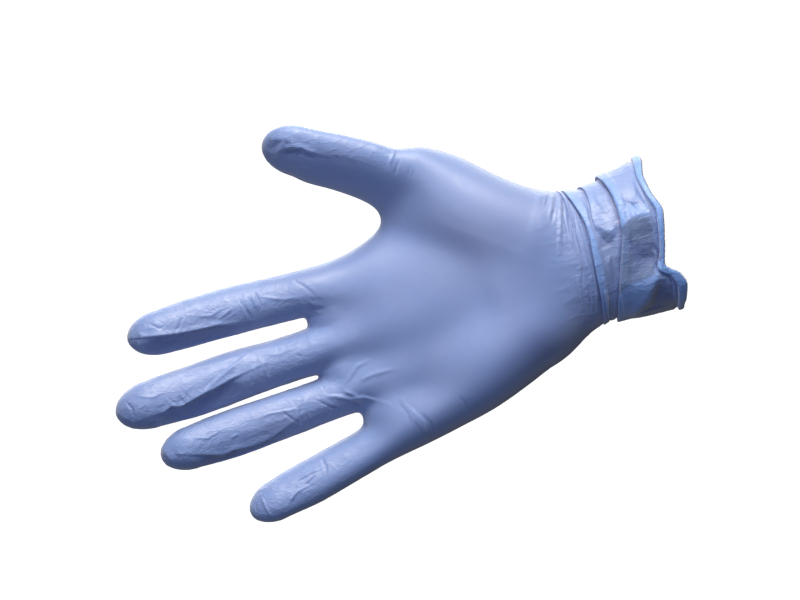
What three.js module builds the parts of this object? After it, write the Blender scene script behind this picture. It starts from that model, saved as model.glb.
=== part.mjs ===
// A thin dip-moulded nitrile glove for the right side, in the open form that it has when worn.
// Units are mm. X runs along the middle stall towards the open cuff, Z points to the thumb side,
// the palm faces -Y, and the origin is the centre of the cuff opening.
import * as THREE from "three";

// Driving sizes.
const WALL = 1.0;
const MITRE_LIMIT = 1.25;
const BLEND_STALL = 0.5;
const BLEND_PALM = 4.5;
const BLEND_START = -138;
const BLEND_END = -108;
const ROOT_CAP = 12;
const BEAD_HEIGHT = 1.05;
const LIP_AHEAD = 0.33;
const LIP_SHOULDER = 1.7;
const SHOULDER_LIFT = 0.95;
const CREASE_BEHIND = 0.4;
const CREASE_DIP = 0.2;
const BAND_ROWS = [0.3, 0.6, 0.85];
const BAND_LIFT = 0.85;
const NARROWEST_BAND = 0.6;
const STALL_PITCH = 5.1;
const TIP_RING = 0.22;
const TIP_DOME = 2;
const RELAX_PASSES = 24;
const RELAX_SHARE = 0.45;
const PROJECT_STEPS = 6;
const PROBE = 0.02;
const FAR = 48;

// Names the columns of a table: each row becomes an object.
const named = (columns, row) => Object.fromEntries(columns.map((name, i) => [name, row[i]]));
const table = (columns, rows) => rows.map((row) => named(columns, row));

// Each ray is a soft rod laid in the XZ plane: "along" is measured from its tip, "across" is the sideways
// shift of its middle, "depth" its Y, and "wide" and "deep" its half sizes.
const STATION = ["along", "across", "depth", "wide", "deep"];
const RAYS = {
  index: {
    tip: [-209.5, 17.8], root: [-140, 16.3], cap: 9,
    rows: table(STATION, [
      [9, -0.2, -6.0, 8.0, 7.3],
      [16, 0.2, -5.2, 8.7, 7.9],
      [28, 0.7, -3.6, 9.1, 8.2],
      [44, 0.9, -2.0, 9.3, 8.7],
      [60, 0.6, -0.6, 9.0, 9.2],
      [69, 0.4, 0.0, 9.2, 10.2],
      [78, -0.6, 0.5, 10.2, 11.4],
      [95, -1.6, 1.0, 12.2, 12.3],
      [120, -3.0, 0.6, 12.0, 12.0],
      [150, -5.0, 0.5, 12.0, 12.5],
    ]),
  },
  middle: {
    tip: [-221.6, -8.2], root: [-141, -5.3], cap: 9.5,
    rows: table(STATION, [
      [9.5, -0.4, -6.5, 8.4, 7.8],
      [17, -0.3, -5.6, 9.4, 8.3],
      [30, -0.6, -3.8, 9.8, 8.6],
      [46, -0.1, -2.0, 9.8, 9.0],
      [66, -0.2, 0.0, 9.0, 9.5],
      [78, -0.3, 0.6, 9.1, 10.6],
      [88, 0.0, 1.2, 10.0, 11.9],
      [100, 0.5, 1.4, 10.8, 12.6],
      [130, 1.0, 1.2, 11.0, 12.3],
      [165, 2.0, 1.0, 12.0, 12.5],
    ]),
  },
  ring: {
    tip: [-209.5, -28.8], root: [-133, -24.5], cap: 9,
    rows: table(STATION, [
      [9, -0.1, -6.0, 7.8, 7.2],
      [16, -0.1, -5.2, 8.5, 7.7],
      [30, -0.3, -3.6, 9.1, 8.2],
      [46, -0.2, -2.0, 8.9, 8.6],
      [62, 0.0, -0.6, 8.5, 9.0],
      [72, 0.3, 0.4, 8.6, 10.2],
      [82, 1.0, 1.0, 9.1, 11.3],
      [98, 1.5, 1.2, 10.4, 12.0],
      [125, 2.5, 1.0, 10.8, 12.0],
      [155, 4.0, 0.5, 12.0, 12.5],
    ]),
  },
  little: {
    tip: [-182.6, -58.2], root: [-131, -46.5], cap: 9,
    rows: table(STATION, [
      [9, -0.9, -5.5, 7.5, 6.8],
      [16, -1.0, -4.6, 8.0, 7.2],
      [26, -1.2, -3.4, 8.5, 7.6],
      [38, -1.1, -2.2, 8.4, 8.0],
      [50, -0.9, -1.4, 8.2, 8.6],
      [66, -0.6, -1.0, 8.6, 10.6],
      [84, -0.5, -1.5, 9.6, 12.0],
      [104, 1.0, -2.0, 10.4, 13.0],
      [128, 6.6, -1.5, 10.2, 13.2],
    ]),
  },
  thumb: {
    tip: [-139.7, 75.0], root: [-100, 52], cap: 10,
    rows: table(STATION, [
      [10, 1.9, -13.0, 8.5, 7.6],
      [18, 1.0, -12.4, 10.0, 8.6],
      [30, 1.3, -11.0, 10.5, 9.4],
      [42, 1.1, -9.4, 10.8, 10.2],
      [50, 0.9, -8.4, 10.6, 10.8],
      [60, 3.0, -7.6, 11.2, 11.8],
      [74, 0.7, -6.6, 11.9, 13.4],
      [92, -4.7, -4.5, 13.0, 15.0],
      [106, -7.6, -2.5, 13.6, 15.2],
    ]),
  },
  wrist: {
    tip: [16, 1.6], root: [-40, -0.6], cap: 6,
    rows: table(STATION, [
      [6, -0.8, 0.5, 29.8, 24.0],
      [16, -0.5, 0.5, 29.6, 23.2],
      [24, -0.2, 0.5, 28.8, 22.4],
      [34, 0.3, 0.5, 27.5, 21.2],
      [44, -0.2, 0.5, 25.6, 20.0],
      [54, -0.2, 0.4, 25.8, 19.0],
      [66, 0.4, 0.2, 26.2, 18.4],
      [80, 0.6, 0.0, 25.6, 17.5],
    ]),
  },
};

// Rounded pads of the palm, and the webs that close the stalls' roots.
const PADS = table(
  ["name", "x", "y", "z", "long", "deep", "wide", "turn"],
  [
    ["thenar", -69, -5.5, 25, 27, 13.6, 13.6, -32],
    ["hypothenar", -76, -3.5, -23.5, 25, 13, 12.4, 14],
    ["thumb_web", -82.5, -2.5, 35.5, 16, 9.5, 16, -6],
    ["index_web", -131.5, 0.4, 5.6, 10, 8.6, 6.5, 0],
    ["middle_web", -132.5, 0.2, -15.6, 10, 8.6, 6.5, 2],
    ["ring_web", -120, -0.8, -36, 10, 8.6, 7.5, 8],
    ["palm", -88, -2.0, 2, 36, 12.5, 30, -4],
  ],
);

// The cuff, read round its edge: turn 0 is the thumb side, 90 the palm, 180 the little side, 270 the back.
const HEM_LINE = [
  -1.4, -3.2, -4.5, -4.1, -1.9, 1.2, -1.0, -2.7, -1.0, 3.2, 1.6, 0.2,
  -0.4, -0.6, 0.2, 0.6, -1.2, -2.8, -2.0, -0.4, 0.2, -1.4, -2.4, -1.8,
];
const HEM_SWAY = [
  0.9, 0.2, -0.6, -0.2, 0.5, 0.6, -0.3, -0.8, -0.2, 0.9, 0.6, 0.1,
  0.5, 0.2, -0.5, -0.6, 0.2, 0.8, 0.3, -0.5, -0.7, 0.1, 0.6, 0.5,
];
const SWAY_REACH = 15;
// The rolled hem in section: how far back from the edge, and the share of its height.
const BEAD = table(["back", "lift"], [
  [0, 0.55],
  [0.7, 1],
  [1.7, 1],
  [2.6, 0.55],
  [3.3, 0.02],
  [4.6, -0.05],
]);
// Each gather fold runs round the cuff: its x and its height at every thirty degrees of turn.
const FOLDS = {
  band: {
    x: [-18.1, -16.0, -14.1, -16.7, -21.5, -24.9, -26.2, -25.4, -23.0, -20.4, -18.8, -18.6],
    lift: [1.6, 1.9, 2.0, 2.0, 1.9, 1.7, 1.3, 1.4, 1.7, 1.8, 1.6, 1.4],
  },
  soft: {
    x: [-25.0, -24.3, -24.6, -25.0, -26.4, -28.2, -29.3, -28.6, -27.0, -25.2, -24.4, -24.6],
    lift: [0.8, 1.1, 1.1, 0.7, 0.3, 0.2, 0.3, 0.6, 1.0, 1.0, 0.6, 0.6],
  },
  wrist: {
    x: [-31.6, -29.4, -28.1, -28.9, -29.9, -31.5, -32.6, -32.0, -30.8, -29.6, -29.6, -30.8],
    lift: [1.0, 1.5, 1.6, 1.5, 1.4, 1.3, 1.0, 1.1, 1.4, 1.5, 1.1, 0.9],
  },
  heel: {
    x: [-35.4, -33.4, -32.7, -33.3, -34.2, -35.4, -36.4, -36.0, -34.8, -33.6, -33.8, -34.9],
    lift: [0.8, 1.0, 0.7, 0.3, 0.2, 0.4, 0.6, 0.5, 0.6, 0.8, 0.5, 0.5],
  },
};
const CUFF_START = 40.5;

// Where the film closes between the stalls, and the lines on which the palm splits into them.
const PLACE = ["x", "z", "depth", "spans"];
const THUMB_LINE = table(PLACE, [
  [-99, -50, -1.5, 6],
  [-101, -20, 0.5, 5],
  [-102, 10, 0.5, 5],
  [-102.8, 36.7, -3.0, 4],
  [-87, 60.5, -8.0, 0],
]);
const STALL_LINE = table(PLACE, [
  [-127, -54.5, -1.4, 4],
  [-130, -36, -0.8, 4],
  [-142.5, -16.2, -0.4, 4],
  [-141.3, 5.6, -0.2, 4],
  [-138.5, 25.6, 0, 0],
]);
const START_DEEP = 17;
const WEB_HEART = 6;
const WEB_FAN = 55;
const WEB_REACH = 16;
const CROSSING_STEPS = 20;
const PALM_ROWS = 12;
const SPLIT_ROWS = 7;

// Counts of the grid: quads along the front of the palm, and over each side.
const FRONT = 20;
const SIDE = 4;
const STALL = 4;

const lerp = (a, b, t) => a + (b - a) * t;
const lerpPlace = (a, b, t) => ({
  x: lerp(a.x, b.x, t),
  z: lerp(a.z, b.z, t),
  depth: lerp(a.depth, b.depth, t),
});

function smoothstep(x, a, b) {
  const t = Math.min(1, Math.max(0, (x - a) / (b - a)));
  return t * t * (3 - 2 * t);
}

// The value of a smooth curve between y0 and y1, with the slopes m0 and m1 over the length h.
function cubic(y0, y1, m0, m1, h, t) {
  const a = t * t;
  const b = a * t;
  return (2 * b - 3 * a + 1) * y0 + (b - 2 * a + t) * h * m0 + (3 * a - 2 * b) * y1 + (b - a) * h * m1;
}

// One column of a table as a smooth curve over "along", held level past its ends.
function column(rows, name) {
  const at = rows.map((row) => row.along);
  const value = rows.map((row) => row[name]);
  const last = at.length - 1;
  const slope = at.map((_, i) => {
    const a = Math.max(0, i - 1);
    const b = Math.min(last, i + 1);
    return (value[b] - value[a]) / (at[b] - at[a]);
  });
  return (s) => {
    if (s <= at[0]) return value[0];
    if (s >= at[last]) return value[last];
    let i = 0;
    while (s > at[i + 1]) i += 1;
    const h = at[i + 1] - at[i];
    return cubic(value[i], value[i + 1], slope[i], slope[i + 1], h, (s - at[i]) / h);
  };
}

// Values spaced evenly round a full turn, as a smooth closed curve of the turn in degrees.
function roundCurve(values) {
  const n = values.length;
  return (turn) => {
    const u = (((turn % 360) + 360) % 360) * (n / 360);
    const i = Math.floor(u);
    const v = (k) => values[(i + k + n) % n];
    return cubic(v(0), v(1), (v(1) - v(-1)) / 2, (v(2) - v(0)) / 2, 1, u - i);
  };
}

for (const ray of Object.values(RAYS)) {
  const [dx, dz] = [ray.root[0] - ray.tip[0], ray.root[1] - ray.tip[1]];
  const length = Math.hypot(dx, dz);
  ray.run = [dx / length, dz / length];
  ray.first = ray.rows[0].along;
  ray.last = ray.rows.at(-1).along;
  for (const name of STATION.slice(1)) ray[name] = column(ray.rows, name);
}

// How far a point lies outside a ray, near enough near its surface.
function rayDistance(ray, x, y, z) {
  const [rx, rz] = ray.run;
  const dx = x - ray.tip[0];
  const dz = z - ray.tip[1];
  const s = dx * rx + dz * rz;
  const off = dz * rx - dx * rz;
  const clear = Math.max(Math.abs(off), -s, s - ray.last);
  if (clear > FAR) return clear;
  const side = off - ray.across(s);
  const wide = ray.wide(s);
  const deep = ray.deep(s);
  const past = Math.max(0, ray.first - s) / ray.cap + Math.max(0, s - ray.last) / ROOT_CAP;
  return (Math.hypot(side / wide, (y - ray.depth(s)) / deep, past) - 1) * Math.min(wide, deep);
}

function padDistance(pad, x, y, z) {
  const turn = THREE.MathUtils.degToRad(pad.turn);
  const dx = x - pad.x;
  const dy = y - pad.y;
  const dz = z - pad.z;
  const u = (dx * Math.cos(turn) + dz * Math.sin(turn)) / pad.long;
  const v = (dz * Math.cos(turn) - dx * Math.sin(turn)) / pad.wide;
  const q = Math.hypot(u, v, dy / pad.deep);
  return q > 0 ? Math.hypot(dx, dy, dz) * (1 - 1 / q) : -pad.deep;
}

const ALL_RAYS = Object.values(RAYS);
const reached = new Float64Array(ALL_RAYS.length + PADS.length);

// The stretched form: all rays and pads, softly joined, as a distance that is negative inside.
function formDistance(x, y, z) {
  const blend = lerp(BLEND_STALL, BLEND_PALM, smoothstep(x, BLEND_START, BLEND_END));
  ALL_RAYS.forEach((ray, i) => {
    reached[i] = rayDistance(ray, x, y, z);
  });
  PADS.forEach((pad, i) => {
    reached[ALL_RAYS.length + i] = padDistance(pad, x, y, z);
  });
  const least = Math.min(...reached);
  const sum = reached.reduce((total, d) => total + Math.exp((least - d) / blend), 0);
  return least - blend * Math.log(sum);
}

function formSlope(p) {
  const d = formDistance(p.x, p.y, p.z);
  return {
    d,
    slope: new THREE.Vector3(
      (formDistance(p.x + PROBE, p.y, p.z) - d) / PROBE,
      (formDistance(p.x, p.y + PROBE, p.z) - d) / PROBE,
      (formDistance(p.x, p.y, p.z + PROBE) - d) / PROBE,
    ),
  };
}

// Moves a point onto the form's surface.
function project(p, steps = PROJECT_STEPS) {
  for (let i = 0; i < steps; i += 1) {
    const { d, slope } = formSlope(p);
    p.addScaledVector(slope, -d / slope.lengthSq());
  }
}

// The grid: points, quads, and which points stay where they were put.
const points = [];
const quads = [];
const held = new Set();

function addPoint(x, y, z) {
  points.push(new THREE.Vector3(x, y, z));
  return points.length - 1;
}

function bridge(from, to) {
  from.forEach((a, i) => {
    const k = (i + 1) % from.length;
    quads.push([a, from[k], to[k], to[i]]);
  });
}

// The angle of place i on a ring, from the little side over the palm to the thumb side and the back.
const ringAngle = (i, count) => ((i + SIDE / 2) / (count / 2)) * Math.PI;

// A ring laid round a point of the XZ plane, "across" pointing to the thumb side.
function ringAt(count, centre, across, depth, wide, deep) {
  return Array.from({ length: count }, (_, i) => {
    const a = ringAngle(i, count);
    const side = -Math.cos(a) * wide;
    return addPoint(centre[0] + across[0] * side, depth - Math.sin(a) * deep, centre[1] + across[1] * side);
  });
}

// The point that lies i spans along a line of places.
function alongLine(line, i) {
  let k = 0;
  let left = i;
  while (left > line[k].spans) {
    left -= line[k].spans;
    k += 1;
  }
  return lerpPlace(line[k], line[k + 1], left / line[k].spans);
}

const RING = 2 * (FRONT + SIDE);
const turnOf = (i) => 180 - THREE.MathUtils.radToDeg(ringAngle(i, RING));
const hemLine = roundCurve(HEM_LINE);
const hemSway = roundCurve(HEM_SWAY);

// The rows of the cuff from the hem inwards: where each lies at a turn, and how far it is lifted.
function cuffRows() {
  const rows = [];
  BEAD.forEach((b) => rows.push({ x: (t) => hemLine(t) - b.back, lift: () => b.lift * BEAD_HEIGHT }));
  let before = rows.at(-1).x;
  let spread = BAND_ROWS;
  for (const fold of Object.values(FOLDS)) {
    const line = roundCurve(fold.x);
    const lift = roundCurve(fold.lift);
    const start = before;
    const shoulder = (t) => Math.min(line(t) + LIP_SHOULDER, lerp(line(t), start(t), NARROWEST_BAND));
    for (const share of spread) {
      const rise = BAND_LIFT * share * share;
      rows.push({ x: (t) => lerp(start(t), shoulder(t), share), lift: (t) => lift(t) * rise });
    }
    rows.push({ x: shoulder, lift: (t) => lift(t) * SHOULDER_LIFT });
    rows.push({ x: (t) => line(t) + LIP_AHEAD, lift });
    rows.push({ x: (t) => line(t) - CREASE_BEHIND, lift: (t) => -CREASE_DIP * lift(t) });
    before = (t) => line(t) - CREASE_BEHIND;
    spread = [];
  }
  rows.push({ x: () => -CUFF_START, lift: () => 0 });
  return rows;
}

// Lays one row of the cuff on the form.
function cuffRing(row) {
  const wrist = RAYS.wrist;
  return Array.from({ length: RING }, (_, i) => {
    const a = ringAngle(i, RING);
    const x = row.x(turnOf(i));
    const s = wrist.tip[0] - x;
    const z = lerp(wrist.tip[1], wrist.root[1], s / (wrist.tip[0] - wrist.root[0])) - wrist.across(s);
    const id = addPoint(x, wrist.depth(s) - Math.sin(a) * wrist.deep(s), z - Math.cos(a) * wrist.wide(s));
    held.add(id);
    return id;
  });
}

// A ring between the cuff and a line across the palm.
function palmRing(start, line, share) {
  const front = start.length / 2 - SIDE;
  return start.map((id, i) => {
    const to = alongLine(line, place(i, front));
    const y = to.depth - Math.sin(ringAngle(i, start.length)) * START_DEEP;
    const p = points[id];
    return addPoint(lerp(p.x, to.x, share), lerp(p.y, y, share), lerp(p.z, to.z, share));
  });
}

// The place along the front that lies before or behind ring place i.
function place(i, front) {
  if (i <= front) return i;
  if (i < front + SIDE) return front;
  if (i <= 2 * front + SIDE) return 2 * front + SIDE - i;
  return 0;
}

// Where the line from a point inside the form to one outside it meets the surface.
function crossing(inside, outside) {
  let [near, far] = [inside.clone(), outside.clone()];
  for (let i = 0; i < CROSSING_STEPS; i += 1) {
    const p = near.clone().lerp(far, 0.5);
    if (formDistance(p.x, p.y, p.z) < 0) near = p;
    else far = p;
  }
  return near;
}

// The three points over the edge of a web, from the front to the back, fanned from a point behind it.
function webPoints(at) {
  const heart = new THREE.Vector3(at.x + WEB_HEART, at.depth, at.z);
  return [-WEB_FAN, 0, WEB_FAN].map((degrees) => {
    const a = THREE.MathUtils.degToRad(degrees);
    const away = new THREE.Vector3(-Math.cos(a), Math.sin(a), 0).multiplyScalar(WEB_REACH);
    const id = addPoint(...crossing(heart, away.add(heart)));
    held.add(id);
    return id;
  });
}

// Drops a point of the palm's last ring straight into the valley between two stalls.
function holdInValley(id) {
  const p = points[id];
  const outside = Math.sign(p.y) * START_DEEP;
  p.copy(crossing(new THREE.Vector3(p.x, 0, p.z), new THREE.Vector3(p.x, outside, p.z)));
  held.add(id);
}

// A stall: rings from its root to its tip, closed by a square patch.
function addStall(ray, root) {
  const count = root.length;
  const across = [-ray.run[1], ray.run[0]];
  const middle = root.reduce((sum, id) => sum.add(points[id]), new THREE.Vector3()).divideScalar(count);
  const start = (middle.x - ray.tip[0]) * ray.run[0] + (middle.z - ray.tip[1]) * ray.run[1];
  const end = ray.cap * TIP_RING;
  const rows = Math.round((start - end) / STALL_PITCH);
  let before = root;
  for (let i = 1; i <= rows; i += 1) {
    const s = lerp(start, end, i / rows);
    const shrink = Math.sqrt(1 - (Math.max(0, ray.first - s) / ray.cap) ** 2);
    const side = ray.across(s);
    const centre = ray.tip.map((v, k) => v + ray.run[k] * s + across[k] * side);
    const ring = ringAt(count, centre, across, ray.depth(s), ray.wide(s) * shrink, ray.deep(s) * shrink);
    bridge(before, ring);
    before = ring;
  }
  closeTip(before, ray);
}

// Fills a ring with a square patch of quads.
function closeTip(ring, ray) {
  const n = STALL;
  const grid = Array.from({ length: n + 1 }, () => Array(n + 1).fill(-1));
  for (let i = 0; i < n; i += 1) {
    grid[0][i] = ring[i];
    grid[i][n] = ring[n + i];
    grid[n][n - i] = ring[2 * n + i];
    grid[n - i][0] = ring[3 * n + i];
  }
  for (let r = 1; r < n; r += 1) {
    for (let c = 1; c < n; c += 1) {
      const rows = points[grid[r][0]].clone().lerp(points[grid[r][n]], c / n);
      const columns = points[grid[0][c]].clone().lerp(points[grid[n][c]], r / n);
      const p = rows.add(columns).multiplyScalar(0.5);
      grid[r][c] = addPoint(p.x - ray.run[0] * TIP_DOME, p.y, p.z - ray.run[1] * TIP_DOME);
    }
  }
  for (let r = 0; r < n; r += 1) {
    for (let c = 0; c < n; c += 1) {
      quads.push([grid[r][c], grid[r][c + 1], grid[r + 1][c + 1], grid[r + 1][c]]);
    }
  }
}

// Builds the whole grid, from the hem to the stalls.
const cuff = cuffRows();
const cuffRings = cuff.map(cuffRing);
cuffRings.slice(1).forEach((ring, i) => bridge(cuffRings[i], ring));

let trunk = cuffRings.at(-1);
const palmStart = trunk;
for (let i = 1; i <= PALM_ROWS; i += 1) {
  const ring = palmRing(palmStart, THUMB_LINE, i / PALM_ROWS);
  bridge(trunk, ring);
  trunk = ring;
}

const back = 2 * FRONT + SIDE;
const thumbWeb = webPoints(THUMB_LINE[3]);
const split = FRONT - STALL;
addStall(RAYS.thumb, [...trunk.slice(split, back - split + 1), ...thumbWeb.toReversed()]);

let palm = [...trunk.slice(0, split + 1), ...thumbWeb, ...trunk.slice(back - split)];
const palmSplit = palm;
for (let i = 1; i <= SPLIT_ROWS; i += 1) {
  const ring = palmRing(palmSplit, STALL_LINE, i / SPLIT_ROWS);
  bridge(palm, ring);
  palm = ring;
}

const webs = STALL_LINE.slice(1, 4).map(webPoints);
const palmBack = 2 * split + SIDE;
for (let j = STALL; j < split; j += STALL) {
  holdInValley(palm[j]);
  holdInValley(palm[palmBack - j]);
}
["little", "ring", "middle", "index"].forEach((name, k) => {
  const [a, b] = [k * STALL, (k + 1) * STALL];
  const upper = k < 3 ? webs[k] : palm.slice(split + 1, split + SIDE);
  const lower = k > 0 ? webs[k - 1].toReversed() : palm.slice(palmBack + 1);
  addStall(RAYS[name], [
    ...palm.slice(a, b + 1),
    ...upper,
    ...palm.slice(palmBack - b, palmBack - a + 1),
    ...lower,
  ]);
});

// Lays every point on the form, and evens the spacing of those that aren't held.
const neighbours = points.map(() => new Set());
for (const quad of quads) {
  quad.forEach((a, i) => {
    const b = quad[(i + 1) % 4];
    neighbours[a].add(b);
    neighbours[b].add(a);
  });
}
points.forEach((p, id) => project(p, held.has(id) ? 1 : PROJECT_STEPS));
for (let pass = 0; pass < RELAX_PASSES; pass += 1) {
  const next = points.map((p, id) => {
    if (held.has(id)) return p;
    const mean = new THREE.Vector3();
    neighbours[id].forEach((other) => mean.add(points[other]));
    return p.clone().lerp(mean.divideScalar(neighbours[id].size), RELAX_SHARE);
  });
  next.forEach((p, id) => points[id].copy(p));
  points.forEach((p, id) => held.has(id) || project(p, 1));
}

// The outer skin: the cuff's rows are lifted into their folds, their sway and the rolled hem.
const outer = points.map((p) => p.clone());
cuffRings.forEach((ring, r) => {
  ring.forEach((id, i) => {
    const turn = turnOf(i);
    const reach = hemLine(turn) - points[id].x;
    const sway = hemSway(turn) * Math.exp(-((reach / SWAY_REACH) ** 2));
    const { slope } = formSlope(points[id]);
    outer[id].addScaledVector(slope.normalize(), cuff[r].lift(turn) + sway);
  });
});

// The inner skin lies one wall below the outer one.
function vertexNormals(at) {
  const normals = at.map(() => new THREE.Vector3());
  const faces = at.map(() => []);
  for (const quad of quads) {
    const [a, b, c, d] = quad.map((id) => at[id]);
    const face = c.clone().sub(a).cross(d.clone().sub(b)).normalize();
    quad.forEach((id) => {
      normals[id].add(face);
      faces[id].push(face);
    });
  }
  return normals.map((n, id) => {
    n.normalize();
    const tightest = Math.min(...faces[id].map((face) => face.dot(n)));
    return n.multiplyScalar(Math.min(MITRE_LIMIT, 1 / Math.max(tightest, 1 / MITRE_LIMIT)));
  });
}

const normals = vertexNormals(outer);
const inner = outer.map((p, id) => p.clone().addScaledVector(normals[id], -WALL));

// One closed film: outer skin, inner skin, and the edge of the hem between them.
const corners = [];
const pushQuad = (a, b, c, d) => {
  const flat = a.distanceToSquared(c) <= b.distanceToSquared(d);
  corners.push(...(flat ? [a, b, c, a, c, d] : [a, b, d, b, c, d]));
};
for (const quad of quads) {
  pushQuad(...quad.map((id) => outer[id]));
  pushQuad(...quad.toReversed().map((id) => inner[id]));
}
const hem = cuffRings[0];
hem.forEach((a, i) => {
  const b = hem[(i + 1) % hem.length];
  pushQuad(inner[a], inner[b], outer[b], outer[a]);
});

const geometry = new THREE.BufferGeometry().setFromPoints(corners);
geometry.computeVertexNormals();
const film = new THREE.MeshStandardMaterial({ color: 0x8f9fd6, roughness: 0.5, metalness: 0 });
const glove = new THREE.Mesh(geometry, film);
glove.name = "glove_film";

const part = new THREE.Group();
part.name = "nitrile_glove";
part.add(glove);

export default part;
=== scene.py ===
"""A disposable nitrile glove in the form it has when worn: five stalls, palm, gathered cuff and rolled hem.

The film is one soft skin. It is laid over a smooth form, gathered at the cuff, and then creased. Lengths are
in millimetres until a mesh is made, and in metres from there. X runs along the middle stall towards the open
cuff, Z points to the thumb side, and the palm faces -Y.
"""

import logging
import math
from dataclasses import dataclass, field
from enum import Enum

import bmesh
import bpy
import numpy as np
from mathutils import Matrix, Vector
from mathutils.geometry import delaunay_2d_cdt


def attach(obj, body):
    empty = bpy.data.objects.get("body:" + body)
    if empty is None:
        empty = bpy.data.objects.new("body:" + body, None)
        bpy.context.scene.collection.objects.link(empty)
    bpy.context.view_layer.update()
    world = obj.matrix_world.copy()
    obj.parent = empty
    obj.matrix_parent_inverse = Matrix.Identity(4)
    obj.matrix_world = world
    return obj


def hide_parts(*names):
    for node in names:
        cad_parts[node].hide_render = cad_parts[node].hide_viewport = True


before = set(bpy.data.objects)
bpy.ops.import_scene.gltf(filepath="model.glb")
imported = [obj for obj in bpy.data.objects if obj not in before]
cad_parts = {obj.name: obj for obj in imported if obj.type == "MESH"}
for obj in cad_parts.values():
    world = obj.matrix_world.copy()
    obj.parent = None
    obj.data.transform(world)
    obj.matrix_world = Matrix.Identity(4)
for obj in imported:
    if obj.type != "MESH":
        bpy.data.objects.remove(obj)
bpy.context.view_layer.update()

log = logging.getLogger("glove")
METRE = 0.001
FULL_TURN = 360.0
HALF_TURN = 180.0

Array = np.ndarray
Socket = bpy.types.NodeSocket
Colour = tuple[float, float, float]
Path = tuple[tuple[float, float], ...]


def smoothstep(x: Array, low: float, high: float) -> Array:
    """Eases from 0 at low to 1 at high.

    Args:
        x: Values to ease.
        low: Where the rise starts.
        high: Where it ends.

    Returns:
        The eased values, between 0 and 1.
    """
    t = np.clip((x - low) / (high - low), 0.0, 1.0)
    return t * t * (3.0 - 2.0 * t)


def ramp(x: Array, low: float, high: float, fall: float, gone: float) -> Array:
    """Eases from 0 at low to 1 at high, and back to 0 from fall to gone."""
    return smoothstep(x, low, high) * (1 - smoothstep(x, fall, gone))


def quad_sides(quads: Array) -> list[Array]:
    """Lists the first, second, third and fourth sides of quads, each as pairs of points."""
    return [quads[:, [i, (i + 1) % 4]] for i in range(4)]


def cubic(y0: Array, y1: Array, m0: Array, m1: Array, h: Array, t: Array) -> Array:
    """Blends two values with two slopes.

    Args:
        y0: Value at the start.
        y1: Value at the end.
        m0: Slope at the start.
        m1: Slope at the end.
        h: Length of the span.
        t: Share of the span, 0 to 1.

    Returns:
        The blended values.
    """
    a = t * t
    b = a * t
    return (2 * b - 3 * a + 1) * y0 + (b - 2 * a + t) * h * m0 + (3 * a - 2 * b) * y1 + (b - a) * h * m1


@dataclass(frozen=True)
class Column:
    """One column of a table of stations, read as a smooth curve and held level past its ends."""

    at: Array
    value: Array

    def __call__(self, s: Array) -> Array:
        """Reads the curve.

        Args:
            s: Places along the curve.

        Returns:
            The curve's values there.
        """
        last = len(self.at) - 1
        before = np.maximum(np.arange(last + 1) - 1, 0)
        after = np.minimum(np.arange(last + 1) + 1, last)
        slope = (self.value[after] - self.value[before]) / (self.at[after] - self.at[before])
        s = np.clip(s, self.at[0], self.at[-1])
        i = np.clip(np.searchsorted(self.at, s, side="right") - 1, 0, last - 1)
        h = self.at[i + 1] - self.at[i]
        return cubic(self.value[i], self.value[i + 1], slope[i], slope[i + 1], h, (s - self.at[i]) / h)


@dataclass(frozen=True)
class RoundCurve:
    """Values spaced evenly round a full turn, read as a smooth closed curve."""

    values: tuple[float, ...]

    def __call__(self, turn: Array) -> Array:
        """Reads the curve.

        Args:
            turn: Places round the cuff, in degrees.

        Returns:
            The curve's values there.
        """
        ring = np.array(self.values)
        n = len(ring)
        u = np.mod(turn, FULL_TURN) * (n / FULL_TURN)
        i = np.floor(u).astype(int)
        before, here, after, beyond = (ring[(i + k) % n] for k in (-1, 0, 1, 2))
        return cubic(here, after, (after - before) / 2, (beyond - here) / 2, 1.0, u - i)


@dataclass(frozen=True)
class Zigzag:
    """A closed curve of straight stretches between corners, a little rounded where they meet."""

    corners: Path
    rounding: float = 3.0
    samples: int = 7

    def __call__(self, turn: Array) -> Array:
        """Reads the curve.

        Args:
            turn: Places round the cuff, in degrees.

        Returns:
            The curve's values there.
        """
        at, value = np.array(self.corners, float).T
        turns = [np.mod(turn + shift, FULL_TURN)
                 for shift in np.linspace(-1.0, 1.0, self.samples) * self.rounding]
        return np.mean([np.interp(place, at, value, period=FULL_TURN) for place in turns], axis=0)


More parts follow.
